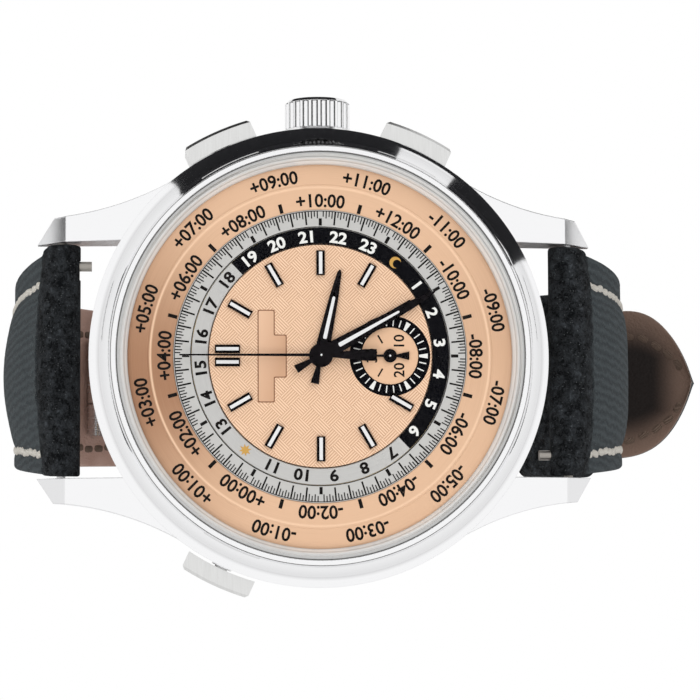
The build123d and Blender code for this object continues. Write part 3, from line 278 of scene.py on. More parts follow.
def polished(name, tone, roughness=0.05, width=0.1, reflectedShare=1.0):
    # mirror metal with painted highlights on its edges: smudges lift its roughness, and a painted reflection
    # dims it where metal mirrors it
    material, tree = newMaterial(name, Metallic=1.0)
    bevelled = useGroup(tree, edgeWear, {"Width mm": width})
    smudge = useGroup(tree, smudges, {"Scale": 0.35})["Mask"]
    # painted highlight: the edges are lighter
    base = mixColour(times(bevelled["Mask"], 0.5), tone, scaled(tone, 1.12))
    # painted reflection: glossy rays see the metal darker, down to the given share of its tone
    if reflectedShare < 1.0:
        seen = times(put(tree, "LightPath").outputs["Is Glossy Ray"], 1.0 - reflectedShare)
        base = mixColour(seen, base, (0, 0, 0, 1))
    rough = plus(times(smudge, 0.05), roughness)
    return dress(material, Base_Color=base, Roughness=rough, Normal=bevelled["Normal"])


def brushed(name, tone, roughness=0.26, centre=(0.0, 0.0), isRound=1.0, fineness=14.0, metallic=1.0,
            contrast=0.12, turn=0.0):
    # satin metal: drawn-out grain moves colour, roughness and height together
    material, tree = newMaterial(name, Metallic=metallic, Specular_IOR_Level=0.15)
    grain = useGroup(tree, brushing, {"Centre X": centre[0], "Centre Y": centre[1], "Round": isRound,
                                      "Turn": math.radians(turn), "Fineness": fineness})["Grain"]
    base = mixColour(grain, scaled(tone, 1 - contrast), scaled(tone, 1 + contrast * 0.5))
    rough = plus(times(grain, 0.14), roughness - 0.07)
    return dress(material, Base_Color=base, Roughness=rough, Normal=bump(grain, 0.006))


def paint(name, tone, roughness=0.3, metallic=0.0, shine=0.1):
    # lacquer or print: a faint orange-peel and dust in the roughness
    material, tree = newMaterial(name, Metallic=metallic, Specular_IOR_Level=shine)
    dust = useGroup(tree, smudges, {"Scale": 2.5})["Mask"]
    base = mixColour(dust, tone, scaled(tone, 0.9))
    return dress(material, Base_Color=base, Roughness=plus(times(dust, 0.12), roughness))


polishedSteel = polished("polishedSteel", colour(245, 245, 246))
# painted reflection: other metal mirrors the crown at a tenth of its tone
crownSteel = polished("crownSteel", colour(245, 245, 246), reflectedShare=0.1)
satinSteel = brushed("satinSteel", colour(212, 212, 213), isRound=0.0, fineness=8.0)
pusherSteel = brushed(
    "pusherSteel", colour(228, 228, 227), roughness=0.3, isRound=0.0, fineness=6.0, contrast=0.14,
    turn=90.0)
pinSteel = brushed("pinSteel", colour(168, 163, 156), roughness=0.36, isRound=0.0, fineness=6.0)
ringSteel = brushed("ringSteel", colour(226, 226, 226), roughness=0.2, fineness=22.0)
giltBrass = brushed("giltBrass", colour(222, 190, 120), roughness=0.24)
rhodium = brushed("rhodium", colour(208, 208, 210), roughness=0.22, fineness=10.0)
goldFinish = brushed("goldFinish", colour(226, 190, 128), roughness=0.16, fineness=26.0)
# painted shade: darker steel for the rings in the bezel's line and round the crystal
grooveShade = brushed("grooveShade", colour(104, 103, 102), roughness=0.4)
salmonPlain = brushed(
    "salmonPlain", colour(236, 194, 159), roughness=0.34, centre=(0, -6.15), fineness=20.0, metallic=0.2,
    contrast=0.05)
silverTrack = brushed(
    "silverTrack", colour(199, 198, 195), roughness=0.4, fineness=18.0, metallic=0.15, contrast=0.06)
blackPolish = polished("blackPolish", colour(26, 24, 26), roughness=0.12, width=0.05)
blackLacquer = paint("blackLacquer", colour(10, 10, 14), shine=0.04)
whitePrint = paint("whitePrint", colour(244, 244, 240), roughness=0.5)
blackPrint = paint("blackPrint", colour(22, 19, 18), roughness=0.45)
goldPrint = paint("goldPrint", colour(214, 168, 92), metallic=0.7)
whiteInlay = paint("whiteInlay", colour(238, 238, 238), roughness=0.4)
paleSeal = paint("paleSeal", colour(196, 196, 195), roughness=0.6)
plaqueBrown = paint("plaqueBrown", colour(146, 104, 78), roughness=0.4)


def turnedFinish(pitch, sharp, metallic, light, dark):
    # fine turned lines: a sine of the radius darkens the metal once in each pitch
    material, tree = newMaterial("turnedSteel", Metallic=metallic)
    brush = brushOf(tree, 20.0)
    wave = times(plus(maths("SINE", times(brush["Radius"], 2 * math.pi / pitch)), 1.0), 0.5)
    return dress(material, Base_Color=mixColour(power(wave, sharp), light, dark),
                 Roughness=plus(times(brush["Grain"], 0.1), 0.3), Normal=bump(brush["Grain"], 0.005))


turnedSteel = turnedFinish(
    pitch=0.27, sharp=3.0, metallic=0.15, light=colour(244, 243, 241), dark=colour(208, 206, 203))


def plaqueFinish(acrossShare, alongShare, start, dark, light):
    # smooth salmon that darkens along a slant across the plate
    material, tree = newMaterial("salmonPlaque", Metallic=0.2, Specular_IOR_Level=0.15)
    x, y, _ = parted(millimetres(tree))
    share = minus(plus(times(x, acrossShare), times(y, alongShare)), start, clamp=True)
    return dress(material, Base_Color=mixColour(share, dark, light),
                 Roughness=plus(times(brushOf(tree, 12.0, isRound=0.0)["Grain"], 0.12), 0.3))


salmonPlaque = plaqueFinish(
    acrossShare=0.06, alongShare=0.3, start=1.0, dark=colour(212, 168, 136), light=colour(238, 198, 166))


def cityFinish(dark, light, metallic, fineness, shadeHeading, streaks, rim, rimHalf, rimHighlight):
    # circular brushing with painted shade, a broad dark lobe near 12 o'clock and a faint one across from it,
    # and a painted highlight along the pale rim
    material, tree = newMaterial("salmonCity", Metallic=metallic, Specular_IOR_Level=0.15)
    brush = brushOf(tree, fineness)
    # painted shade: the metal darkens round one heading and faintly across from it
    facing = maths("COSINE", minus(brush["Angle"], math.radians(shadeHeading)))
    near = power(highest(facing, 0.0), 4.0)
    far = power(highest(times(facing, -1.0), 0.0), 8.0)
    grain = times(minus(brush["Grain"], 0.5), streaks)
    share = plus(plus(near, times(far, 0.22)), grain, clamp=True)
    # painted highlight: a pale line round the rim
    edge = minus(1.0, over(maths("ABSOLUTE", minus(brush["Radius"], rim)), rimHalf), clamp=True)
    return dress(material, Base_Color=mixColour(edge, mixColour(share, light, dark), rimHighlight),
                 Roughness=plus(times(brush["Grain"], 0.12), 0.3), Normal=bump(brush["Grain"], 0.006))


salmonCity = cityFinish(
    dark=colour(170, 127, 98), light=colour(230, 190, 157), metallic=0.15, fineness=16.0, shadeHeading=97.0,
    streaks=0.3, rim=15.05, rimHalf=0.16, rimHighlight=colour(246, 208, 175))


def basketFinish(tile, ridges, depth, sharp, metallic, dark, light, shade):
    # basket weave at 45 degrees: square tiles whose ridges run along u or v by turns
    material, tree = newMaterial("salmonBasket", Metallic=metallic, Specular_IOR_Level=0.15)
    turned = put(tree, "Mapping", {"Vector": millimetres(tree), "Rotation": (0, 0, math.radians(45)),
                                   "Scale": (1 / tile,) * 3})
    u, v, _ = parted(turned.outputs[0])
    parity = maths("FLOORED_MODULO", plus(maths("FLOOR", u), maths("FLOOR", v)), 2.0)
    wave = maths("ABSOLUTE", maths("SINE", times(blend(parity, u, v), math.pi * ridges)))
    # painted highlight and shade: each ridge is lighter on top and darker in its valleys, and every other
    # tile is darker
    base = mixColour(times(parity, 0.12), mixColour(power(wave, sharp), dark, light), shade)
    rough = minus(0.42, times(wave, 0.08))
    return dress(material, Base_Color=base, Roughness=rough, Normal=bump(wave, depth))


salmonBasket = basketFinish(
    tile=1.28, ridges=6, depth=0.02, sharp=1.6, metallic=0.1, dark=colour(208, 162, 128),
    light=colour(254, 219, 188), shade=colour(226, 182, 148))


dialReading = 15.42  # the hour at the top of the day and night disc


def hourHeading(hour):
    # degrees clockwise from 12 o'clock
    return (hour - dialReading) * 15


def dayNightFinish(midnight, black, silverDark, silverLight):
    # the half of the disc round midnight is black and the rest silver
    material, tree = newMaterial("dayNight", Specular_IOR_Level=0.06)
    grain = brushOf(tree, 18.0)["Grain"]
    x, y, _ = parted(millimetres(tree))
    middle = math.radians(hourHeading(midnight))
    night = isAbove(plus(times(x, math.sin(middle)), times(y, math.cos(middle))), 0.0)
    return dress(material, Base_Color=mixColour(night, mixColour(grain, silverDark, silverLight), black),
                 Metallic=times(minus(1.0, night), 0.4), Roughness=blend(night, 0.36, 0.2))


dayNight = dayNightFinish(
    midnight=24.5, black=colour(10, 10, 14), silverDark=colour(190, 189, 187),
    silverLight=colour(204, 203, 200))


def stripedFinish(band, slant, depth, dark, light):
    # broad parallel stripes: each band is lightly domed and brushed
    material, tree = newMaterial("stripedNickel", Metallic=1.0)
    x, y, _ = parted(millimetres(tree))
    saw = maths("FRACT", over(plus(times(x, slant[0]), times(y, slant[1])), band))
    dome = times(times(saw, minus(1.0, saw)), 4.0)
    grain = brushOf(tree, 16.0)["Grain"]
    return dress(material, Base_Color=mixColour(grain, dark, light), Roughness=plus(times(grain, 0.12), 0.16),
                 Normal=bump(plus(dome, times(grain, 0.25)), depth))


stripedNickel = stripedFinish(
    band=1.5, slant=(0.82, 0.57), depth=0.06, dark=colour(176, 177, 180), light=colour(222, 222, 224))


def glass(name, tint, index, specular, sheen=(1, 1, 1, 1)):
    # clear solid; shadow and diffuse rays pass straight through, so that the dial is lit
    material, tree = newMaterial(name, Base_Color=tint, Roughness=0.0, IOR=index, Transmission_Weight=1.0,
                                 Specular_IOR_Level=specular, Specular_Tint=sheen)
    path = put(tree, "LightPath").outputs
    passed = highest(path["Is Shadow Ray"], path["Is Diffuse Ray"])
    return fadeTo(material, passed, put(tree, "BsdfTransparent"))


# coated on both faces: it mirrors only at a grazing view
sapphire = glass("sapphire", (1, 1, 1, 1), 1.12, 0.0, sheen=(0, 0, 0, 1))
rubyGlass = glass("rubyGlass", colour(210, 30, 70), 1.5, 0.5)


def clothFinish(ribPitch, slant, nap, depth, crease, valley, ridge, rootDark, rootLight, fleck, pleat):
    # the wrapped root is a near-black tufted cloth; past the crease the pad shows its slanted ribs
    material, tree = newMaterial("strapCloth", Roughness=0.9, Sheen_Weight=0.04, Sheen_Roughness=0.4,
                                 Specular_IOR_Level=0.08)
    weave = useGroup(tree, clothWeave, {"Rib pitch": ribPitch, "Slant": slant, "Nap": nap})
    along = parted(put(tree, "UVMap").outputs[0])[0]
    pad = smoothRamp(along, crease - 0.3, crease + 0.9)
    root = mixColour(weave["Tuft"], rootDark, rootLight)
    base = mixColour(pad, root, mixColour(weave["Rib"], valley, ridge))
    base = mixColour(times(weave["Fleck"], 0.6), base, fleck)
    folds = times(times(weave["Pleat"], ramp(along, crease + 5.0, crease + 0.4)), pad)
    return dress(material, Base_Color=mixColour(times(folds, 0.7), base, pleat),
                 Normal=bump(blend(pad, weave["Tuft"], weave["Height"]), depth))


strapCloth = clothFinish(
    ribPitch=0.8, slant=0.1, nap=4.5, depth=0.16, crease=0.9, valley=colour(50, 55, 58),
    ridge=colour(76, 83, 86), rootDark=colour(11, 13, 15), rootLight=colour(66, 70, 74),
    fleck=colour(116, 120, 122), pleat=colour(96, 103, 106))


def leatherFinish(pore, depth, rimWidth, shadowFrom, shadowTo, dark, light, tail, rim):
    # pores over soft creases, and painted shadow over the long piece's tail that is lighter at its rim; the
    # UV is the way along the strap and the gap to its outline
    material, tree = newMaterial("liningLeather", Specular_IOR_Level=0.2)
    place = millimetres(tree)
    cells = put(tree, "TexVoronoi", {"Vector": place, "Scale": pore}).outputs["Distance"]
    crease = noise(place, 0.5, 5.0)
    along, gap, _ = parted(put(tree, "UVMap").outputs[0])
    # painted shadow: the tail darkens past a point along the strap, and less so near its outline
    tailShadow = smoothRamp(along, shadowFrom, shadowTo)
    base = mixColour(tailShadow, mixColour(crease, dark, light), tail)
    return dress(material, Base_Color=mixColour(times(smoothRamp(gap, rimWidth, 0.2), tailShadow), base, rim),
                 Roughness=plus(times(cells, 0.2), 0.5), Normal=bump(plus(cells, times(crease, 0.8)), depth))


# tail is the colour of the painted shadow, and rim the lighter colour near its outline
liningLeather = leatherFinish(
    pore=4.0, depth=0.05, rimWidth=4.6, shadowFrom=90.0, shadowTo=98.0, dark=colour(134, 104, 92),
    light=colour(184, 154, 142), tail=colour(28, 22, 20), rim=colour(122, 100, 88))


def threadFinish(name, dark, light):
    # two twisted plies with a little fluff
    material, tree = newMaterial(name, Roughness=0.8, Specular_IOR_Level=0.1)
    place = millimetres(tree)
    inputs = {"Vector": place, "Scale": 3.0, "Distortion": 1.0}
    twist = put(tree, "TexWave", inputs, bands_direction="DIAGONAL").outputs["Fac"]
    plies = times(plus(twist, noise(place, 7.0, 4.0)), 0.6, clamp=True)
    return dress(material, Base_Color=mixColour(plies, dark, light), Normal=bump(plies, 0.1))


creamThread = threadFinish("creamThread", dark=colour(204, 196, 182), light=colour(250, 246, 238))
brownThread = threadFinish("brownThread", dark=colour(80, 66, 58), light=colour(120, 102, 90))


def caseFinish(tone, edgeShadeTone, mirror, satin, fineness, flankLean, edge):
    # mirror facets on top and satin flanks, told apart by how upright the face is; painted shade makes the
    # edges darker
    material, tree = newMaterial("caseSteel", Metallic=1.0)
    height = parted(millimetres(tree))[2]
    place = vector(times(height, fineness), times(brushOf(tree, 1.0)["Angle"], 6.0))
    grain = noise(place, 1.0, 3.0)
    lean = parted(put(tree, "NewGeometry").outputs["Normal"])[2]
    flank = isBelow(maths("ABSOLUTE", lean), flankLean)
    bevelled = useGroup(tree, edgeWear, {"Width mm": edge})
    smudge = useGroup(tree, smudges, {"Scale": 0.3})["Mask"]
    rough = blend(flank, plus(times(smudge, 0.05), mirror), plus(times(grain, 0.16), satin))
    # painted shade: the edges darken towards a grey
    return dress(material, Base_Color=mixColour(times(bevelled["Mask"], 0.6), tone, edgeShadeTone), Roughness=rough,
                 Normal=bump(times(grain, flank), 0.01, Normal=bevelled["Normal"]))


caseSteel = caseFinish(
    tone=colour(246, 246, 247), edgeShadeTone=colour(150, 150, 152), mirror=0.06, satin=0.2, fineness=16.0,
    flankLean=0.35, edge=0.16)
print("finishes ready")

nodeFinishes = (
    (caseSteel, "case_middle"), (crownSteel, "crown"), (pusherSteel, "pusher_2 pusher_4 pusher_10"),
    (polishedSteel, "bezel pusher_2_spring pusher_4_spring pusher_10_spring bridge_screws hairspring "
                    "pallet_fork column_wheel winding_stem clasp_end_pin clasp_tang"),
    (satinSteel, "case_tubes winding_pinion spring_bar_12 spring_bar_6 clasp_base clasp_blade"),
    (ringSteel, "case_back ratchet_wheel escape_wheel rotor_bearing"),
    (pinSteel, "release_pin_12 release_pin_6"),
    (giltBrass, "dial_plate balance_wheel barrel centre_wheel minute_wheel hour_wheel chrono_wheel"),
    (rhodium, "movement_ring main_plate"), (stripedNickel, "train_bridge balance_cock"),
    (goldFinish, "rotor"), (sapphire, "crystal case_back_window"), (rubyGlass, "jewels"),
    (paleSeal, "gaskets"), (turnedSteel, "flange_ring"), (salmonCity, "city_disc"),
    (silverTrack, "minute_track_ring"), (dayNight, "day_night_disc"), (salmonBasket, "dial_centre"),
    (blackLacquer, "counter_dial"),
    (blackPolish, "hour_markers hour_hand minute_hand chrono_seconds_hand counter_hand"),
    (strapCloth, "strap_12_cover strap_6_cover strap_keeper"),
    (liningLeather, "strap_12_lining strap_6_lining"),
)
for material, names in nodeFinishes:
    for name in names.split():
        nodes[name].data.materials.clear()
        nodes[name].data.materials.append(material)
print("materials on", len(nodes), "CAD nodes")


# surfaces
def newMesh(name, verts, faces):
    # verts in millimetres
    mesh = bpy.data.meshes.new(name)
    mesh.from_pydata((np.asarray(verts, dtype=float) * mm).tolist(), [], [list(map(int, f)) for f in faces])
    return mesh


weld = 0.0005  # points nearer than this become one


def makePiece(name, verts, faces, body, slot, material, uv=None, crease=35.0, welded=False):
    # every finished piece sits at the origin with its size in its vertices
    mesh = newMesh(name, verts, faces)
    if uv is not None:
        layer = mesh.uv_layers.new(name="UVMap")
        layer.data.foreach_set("uv", np.asarray(uv, dtype=np.float32)[np.concatenate(faces)].ravel())
    work = bmesh.new()
    work.from_mesh(mesh)
    if welded:
        bmesh.ops.remove_doubles(work, verts=work.verts, dist=weld * mm)
    bmesh.ops.recalc_face_normals(work, faces=work.faces)
    work.to_mesh(mesh)
    work.free()
    mesh.polygons.foreach_set("use_smooth", np.ones(len(mesh.polygons), dtype=bool))
    mesh.set_sharp_from_angle(angle=math.radians(crease))
    mesh.materials.append(material)
    piece = newObject(name, mesh)
    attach(piece, body)
    return piece


def gridFaces(rows, columns, loopRows, loopColumns):
    # quads between neighbouring rows and columns of a grid, wrapped where it closes on itself
    spans = [np.arange(count - (not loops)) for count, loops in ((rows, loopRows), (columns, loopColumns))]
    r, c = np.meshgrid(*spans, indexing="ij")
    a, b = r * columns, (r + 1) % rows * columns
    nextC = (c + 1) % columns
    return np.stack([a + c, b + c, b + nextC, a + nextC], -1).reshape(-1, 4)


def oblong(x0, x1, y0, y1):
    # four corners, anticlockwise
    return [(x0, y0), (x1, y0), (x1, y1), (x0, y1)]


def wheelTurn(steps):
    # even angles round a circle
    return np.arange(steps) / steps * 2 * math.pi


def softCorners(points, radius, closed=True, steps=4):
    # each corner becomes a quadratic curve that starts and ends a radius from it, or 0.45 of a shorter side
    points = np.asarray(points, dtype=float)
    before, after = np.roll(points, 1, axis=0), np.roll(points, -1, axis=0)
    out = []
    for i, (a, p, b) in enumerate(zip(before, points, after)):
        if not closed and i in (0, len(points) - 1):
            out.append(p[None])
            continue
        la, lb = np.linalg.norm(a - p), np.linalg.norm(b - p)
        cut = min(radius, 0.45 * la, 0.45 * lb)
        start, end = p + (a - p) / la * cut, p + (b - p) / lb * cut
        t = np.linspace(0, 1, steps)[:, None]
        out.append((1 - t) ** 2 * start + 2 * t * (1 - t) * p + t ** 2 * end)
    return np.concatenate(out)


def spun(profile, steps, closed=True, centre=(0.0, 0.0)):
    # a profile of (radius, height) turned about an upright axis
    radius, height = np.asarray(profile, dtype=float).T[..., None]
    turn = wheelTurn(steps)
    verts = np.broadcast_arrays(centre[0] + radius * np.cos(turn), centre[1] + radius * np.sin(turn), height)
    return np.stack(verts, -1).reshape(-1, 3), gridFaces(len(profile), steps, closed, True)


def lathe(name, profile, body, slot, material, steps, closed=True, centre=(0.0, 0.0), crease=35.0):
    # points on the axis are merged to a pole
    shape = spun(profile, steps, closed, centre)
    return makePiece(name, *shape, body, slot, material, crease=crease, welded=True)


def flatRing(inner, outer, low, high, steps=180):
    # an oblong section turned about the middle
    return spun(oblong(inner, outer, low, high), steps)


def arcThrough(a, m, b, steps):
    # points of the circle through three points, from a to b
    a, m, b = (complex(*p) for p in (a, m, b))
    w = (m - a) / (b - a)
    centre = (b - a) * (w - abs(w) ** 2) / (2j * w.imag) + a
    start, end = np.angle(a - centre), np.angle(b - centre)
    sweep = (end - start + math.pi) % (2 * math.pi) - math.pi
    spots = centre + abs(a - centre) * np.exp(1j * (start + sweep * np.linspace(0, 1, steps)))
    return np.stack([spots.real, spots.imag], -1)


# bezel: a hollowed band, a fine line and a polished lip, with painted shade: dark rings in the line and round
# the crystal
bezelLook = dict(
    bore=18.05, lip=18.5, outer=20.5, foot=8.0, skirt=8.9, top=11.6, hollow=(19.25, 10.0), bandSteps=28,
    line=(0.07, 0.02), lineDrops=(0.16, 0.2, 0.1), soft=0.07, boreStep=1.0,
    shades=dict(lipShade=(18.5, 18.58, 11.3, 11.43), sealShade=(17.97, 18.05, 11.4, 11.5)))


def makeBezel(bore, lip, outer, foot, skirt, top, hollow, bandSteps, line, lineDrops, soft, boreStep, shades):
    # the profile runs up the skirt, over an arc through the hollow, down and up the line, and down the bore
    bandDrop, floorDrop, lipDrop = lineDrops
    band = arcThrough((outer, skirt), hollow, (lip + line[0], top - bandDrop), bandSteps)
    step = [(lip + line[1], top - floorDrop), (lip, top - lipDrop)]
    base = softCorners([(bore, foot), (outer, foot), (outer, skirt)], soft, closed=False)
    rim = [(lip, top - lipDrop), (lip, top), (bore, top), (bore, foot + boreStep)]
    rim = softCorners(rim, soft, closed=False, steps=5)
    profile = np.concatenate([base[:-1], band, step, rim])
    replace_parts(lathe("bezelBand", profile, "case", "polished_steel", polishedSteel, 240), "bezel")
    # painted shade: dark flat rings stand in for the shade in the line and round the crystal
    for name, ring in shades.items():
        makePiece(name, *flatRing(*ring, steps=240), "case", "brushed_steel", grooveShade)


makeBezel(**bezelLook)

crystalLook = dict(
    radius=17.75, seat=10.95, edge=12.15, bevel=0.15, dome=0.6, shoulder=(0.3, 0.02), soft=0.05)


def makeCrystal(radius, seat, edge, bevel, dome, shoulder, soft):
    # flat below and part of a ball above, with a small bevel round the edge
    rim = radius - bevel
    ball = (rim ** 2 + dome ** 2) / (2 * dome)
    reach = np.linspace(rim, 0, 28)
    top = edge + dome - ball + np.sqrt(ball ** 2 - reach ** 2)
    inward, lift = shoulder
    side = softCorners([(rim - inward, seat), (radius, seat), (radius, edge - bevel), (rim, edge),
                        (rim - inward, edge + lift)], soft, closed=False)
    profile = np.concatenate([[(0, seat)], side[:-1], np.stack([reach, top], -1)[1:]])
    piece = lathe("crystalDome", profile, "case", "crystal", sapphire, 240, closed=False, crease=25)
    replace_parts(piece, "crystal")


makeCrystal(**crystalLook)

flangeLook = dict(
    outer=18.05, leg=17.75, shelf=17.45, inner=17.05, seat=10.95, lip=10.0, under=9.65, foot=8.0, lines=3,
    lineDepth=0.05, lineHalf=0.02, slopeShare=1.6, ledgeLines=(0.2, 0.4))


def makeFlange(outer, leg, shelf, inner, seat, lip, under, foot, lines, lineDepth, lineHalf, slopeShare,
               ledgeLines):
    # under the crystal: a ledge with fine turned lines, then a grooved slope down to the city ring
    slope = np.linspace((shelf, seat), (inner, lip), lines * 8 + 1)
    slope[4::8, 0] += lineDepth * slopeShare
    rest = [(inner, under), (leg, under), (leg, foot), (outer, foot), (outer, seat)]
    ledge = [(outer - reach - side * lineHalf, seat - (side == 0) * lineDepth)
             for reach in ledgeLines for side in (-1, 0, 1)]
    profile = np.concatenate([slope, rest, ledge])
    piece = lathe("flangeSteps", profile, "case", "brushed_steel", turnedSteel, 240, crease=25)
    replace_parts(piece, "flange_ring")


makeFlange(**flangeLook)
print("bezel, crystal and flange turned")


# dial prints
def headed(heading):
    # unit vectors outward and clockwise at a clock heading, in degrees from 12 o'clock
    turn = np.radians(np.asarray(heading, dtype=float))
    return np.stack([np.sin(turn), np.cos(turn)], -1), np.stack([np.cos(turn), -np.sin(turn)], -1)


def radialBars(heading, inner, outer, width, low, high, outerWidth=None, centre=(0.0, 0.0)):
    # closed boxes along radial lines: eight corners each, wider outside where asked
    heading = np.atleast_1d(np.asarray(heading, dtype=float))
    spread = (inner, outer, width, width if outerWidth is None else outerWidth)
    inner, outer, width, outerWidth = (np.broadcast_to(value, heading.shape)[:, None] for value in spread)
    away, side = headed(heading)
    ends = ((inner, width, -1), (outer, outerWidth, -1), (outer, outerWidth, 1), (inner, width, 1))
    corners = []
    for level in (low, high):
        for reach, wide, sign in ends:
            flat = away * reach + side * (wide * 0.5 * sign) + np.asarray(centre)
            corners.append(np.column_stack([flat, np.full(len(heading), level)]))
    box = np.array([(3, 2, 1, 0), (4, 5, 6, 7), (0, 1, 5, 4), (1, 2, 6, 5), (2, 3, 7, 6), (3, 0, 4, 7)])
    faces = (box[None] + (np.arange(len(heading)) * 8)[:, None, None]).reshape(-1, 4)
    return np.stack(corners, 1).reshape(-1, 3), faces


def flatShape(outline, low, high):
    # an outline of (x, y) points given thickness
    count = len(outline)
    layers = [np.column_stack([outline, np.full(count, float(level))]) for level in (low, high)]
    walls = [(i, (i + 1) % count, (i + 1) % count + count, i + count) for i in range(count)]
    caps = [tuple(range(count - 1, -1, -1)), tuple(range(count, 2 * count))]
    return np.concatenate(layers), caps + walls


def joined(*parts):
    # several (verts, faces) as one
    faces, shift = [], 0
    for verts, partFaces in parts:
        faces.extend([np.asarray(f) + shift for f in partFaces])
        shift += len(verts)
    return np.concatenate([verts for verts, _ in parts]), faces


def meshOf(thing):
    # the thing's mesh after its modifiers, or from its curve
    bpy.context.view_layer.update()
    return bpy.data.meshes.new_from_object(thing.evaluated_get(bpy.context.evaluated_depsgraph_get()))


def glyphs(text, bold, depth):
    # one text as a mesh in the XY plane, centred on x, its baseline at y zero, in the typeface's own units
    curve = bpy.data.curves.new("glyphs", "FONT")
    curve.body, curve.align_x, curve.resolution_u = text, "CENTER", 3
    curve.extrude, curve.offset = depth, bold
    holder = newObject("glyphs", curve)
    mesh = meshOf(holder)
    verts = np.array([v.co for v in mesh.vertices], dtype=np.float32).astype(float)
    faces = [tuple(p.vertices) for p in mesh.polygons]
    bpy.data.objects.remove(holder)
    bpy.data.curves.remove(curve)
    bpy.data.meshes.remove(mesh)
    return verts, faces


capShare = glyphs("H", 0.0, 0.0)[0][:, 1].max()  # height of a capital


def aimed(outline, heading, reach=0.0):
    # an outline of (across, outward) points turned to a clock heading and moved outward
    away, side = headed(heading)
    return away * reach + np.outer(outline[:, 0], side) + np.outer(outline[:, 1], away)


dialLook = dict(
    top=9.6, discTop=9.5, ink=0.012, lift=0.002, lineWidth=0.07, trackRings=(9.94, 11.53, 12.94),
    offsetRows=((13.3, 4, 0), (15.5, 5, 15)), offsetType=dict(cap=1.12, bold=0.022, squeeze=0.96),
    offsetTick=(13.12, 13.95, 0.32), strokeTurn=1.2, strokeInner=(11.7, 12.25, 12.4), strokeWidth=(0.15, 0.1),
    fifthStroke=(11.6, 12.25, 0.28), hourBaseline=10.18, hourType=dict(cap=0.95, bold=0.032, squeeze=1.12),
    signReach=10.68, signRise=0.02, sunRays=(0.56, 0.28),
    moonArcs=((0.0, 0.52, 40, 320, 22), (0.2, 0.38, 298, 62, 20)))
dial = SimpleNamespace(**dialLook)


def ringText(items, level, cap, bold, squeeze=1.0, centre=None):
    # (text, heading, baseline radius), bent so that each baseline follows its circle; upright round a centre
    parts = []
    for text, heading, reach in items:
        verts, faces = glyphs(text, bold, 0.5)
        x, y = verts[:, 0] / capShare * cap * squeeze, verts[:, 1] / capShare * cap
        z = level + dial.ink * (verts[:, 2] + 0.5)
        if centre is None:
            turn = math.radians(heading) + x / (reach + cap / 2)
            spot = np.stack([np.sin(turn) * (reach + y), np.cos(turn) * (reach + y), z], -1)
        else:
            away = headed(heading)[0] * reach
            spot = np.stack([centre[0] + away[0] + x, centre[1] + away[1] + y - cap / 2, z], -1)
        parts.append((spot, faces))
    return joined(*parts)


def makeCityPrint():
    # offsets from universal time, in two rows of twelve, each (baseline radius, first offset, its heading)
    level = dial.discTop
    items = [(f"{(first + 2 * k + 11) % 24 - 11:+03d}:00", turn + 30 * k, reach)
             for reach, first, turn in dial.offsetRows for k in range(12)]
    words = ringText(items, level + dial.lift, **dial.offsetType)
    ticks = radialBars(15 + 30 * np.arange(12), *dial.offsetTick, level, level + dial.ink)
    makePiece("cityPrint", *joined(words, ticks), "city_disc", "black_lacquer", blackPrint)


def makeTrackPrint():
    # five strokes to the second: long on the second, short between, and a bold one each fifth second
    count = np.arange(300)
    heading = count * dial.strokeTurn
    second, fifth = count % 5 == 0, count % 25 == 0
    long, middle, short = dial.strokeInner
    inner = np.where(second, long, np.where(count % 5 % 2 == 0, middle, short))
    levels = dial.top, dial.top + dial.ink
    width = np.where(second, *dial.strokeWidth)
    ticks = radialBars(heading[~fifth], inner[~fifth], dial.trackRings[-1], width[~fifth], *levels)
    bold = radialBars(heading[fifth], *dial.fifthStroke, *levels)
    lines = [flatRing(reach - dial.lineWidth, reach, *levels) for reach in dial.trackRings]
    makePiece("trackPrint", *joined(ticks, bold, *lines), "case", "black_lacquer", blackPrint)


def makeHourPrint():
    # hours of the day, tops outward: white by night and black by day, with a crescent at 24 and a sun at 12
    level = dial.discTop + dial.lift
    night, day = (*range(19, 24), *range(1, 7)), (*range(7, 12), *range(13, 19))
    for name, hours, slot, material in (("nightHours", night, "silver_ring", whitePrint),
                                        ("dayHours", day, "black_lacquer", blackPrint)):
        items = [(str(hour), hourHeading(hour), dial.hourBaseline) for hour in hours]
        words = ringText(items, level, **dial.hourType)
        makePiece(name, *words, "day_night_disc", slot, material)
    # the sun's sixteen points are long and short by turns; the crescent lies between two arcs
    turn, ray = wheelTurn(16), np.where(np.arange(16) % 2 == 0, *dial.sunRays)
    sun = np.stack([np.sin(turn) * ray, np.cos(turn) * ray], -1)
    arcs = [(shift, reach, np.radians(np.linspace(start, end, steps)))
            for shift, reach, start, end, steps in dial.moonArcs]
    moon = np.concatenate([np.stack([shift + reach * np.cos(bend), reach * np.sin(bend)], -1)
                           for shift, reach, bend in arcs])
    signs = [flatShape(aimed(sign, hourHeading(hour), dial.signReach), level, level + dial.signRise)
             for sign, hour in ((sun, 12), (moon, 24))]
    makePiece("sunAndMoon", *joined(*signs), "day_night_disc", "gold", goldPrint)


makeCityPrint()
makeTrackPrint()
makeHourPrint()

# plaque under 12 o'clock, on a thin brown border
plaqueLook = dict(
    broad=(-4.05, 3.98), stem=(-1.85, 1.78), steps=(3.1, 4.16, 5.49), corner=0.14,
    layers=(("plaqueFoot", 0.09, 0.036, plaqueBrown), ("dialPlaque", 0.0, 0.06, salmonPlaque)))


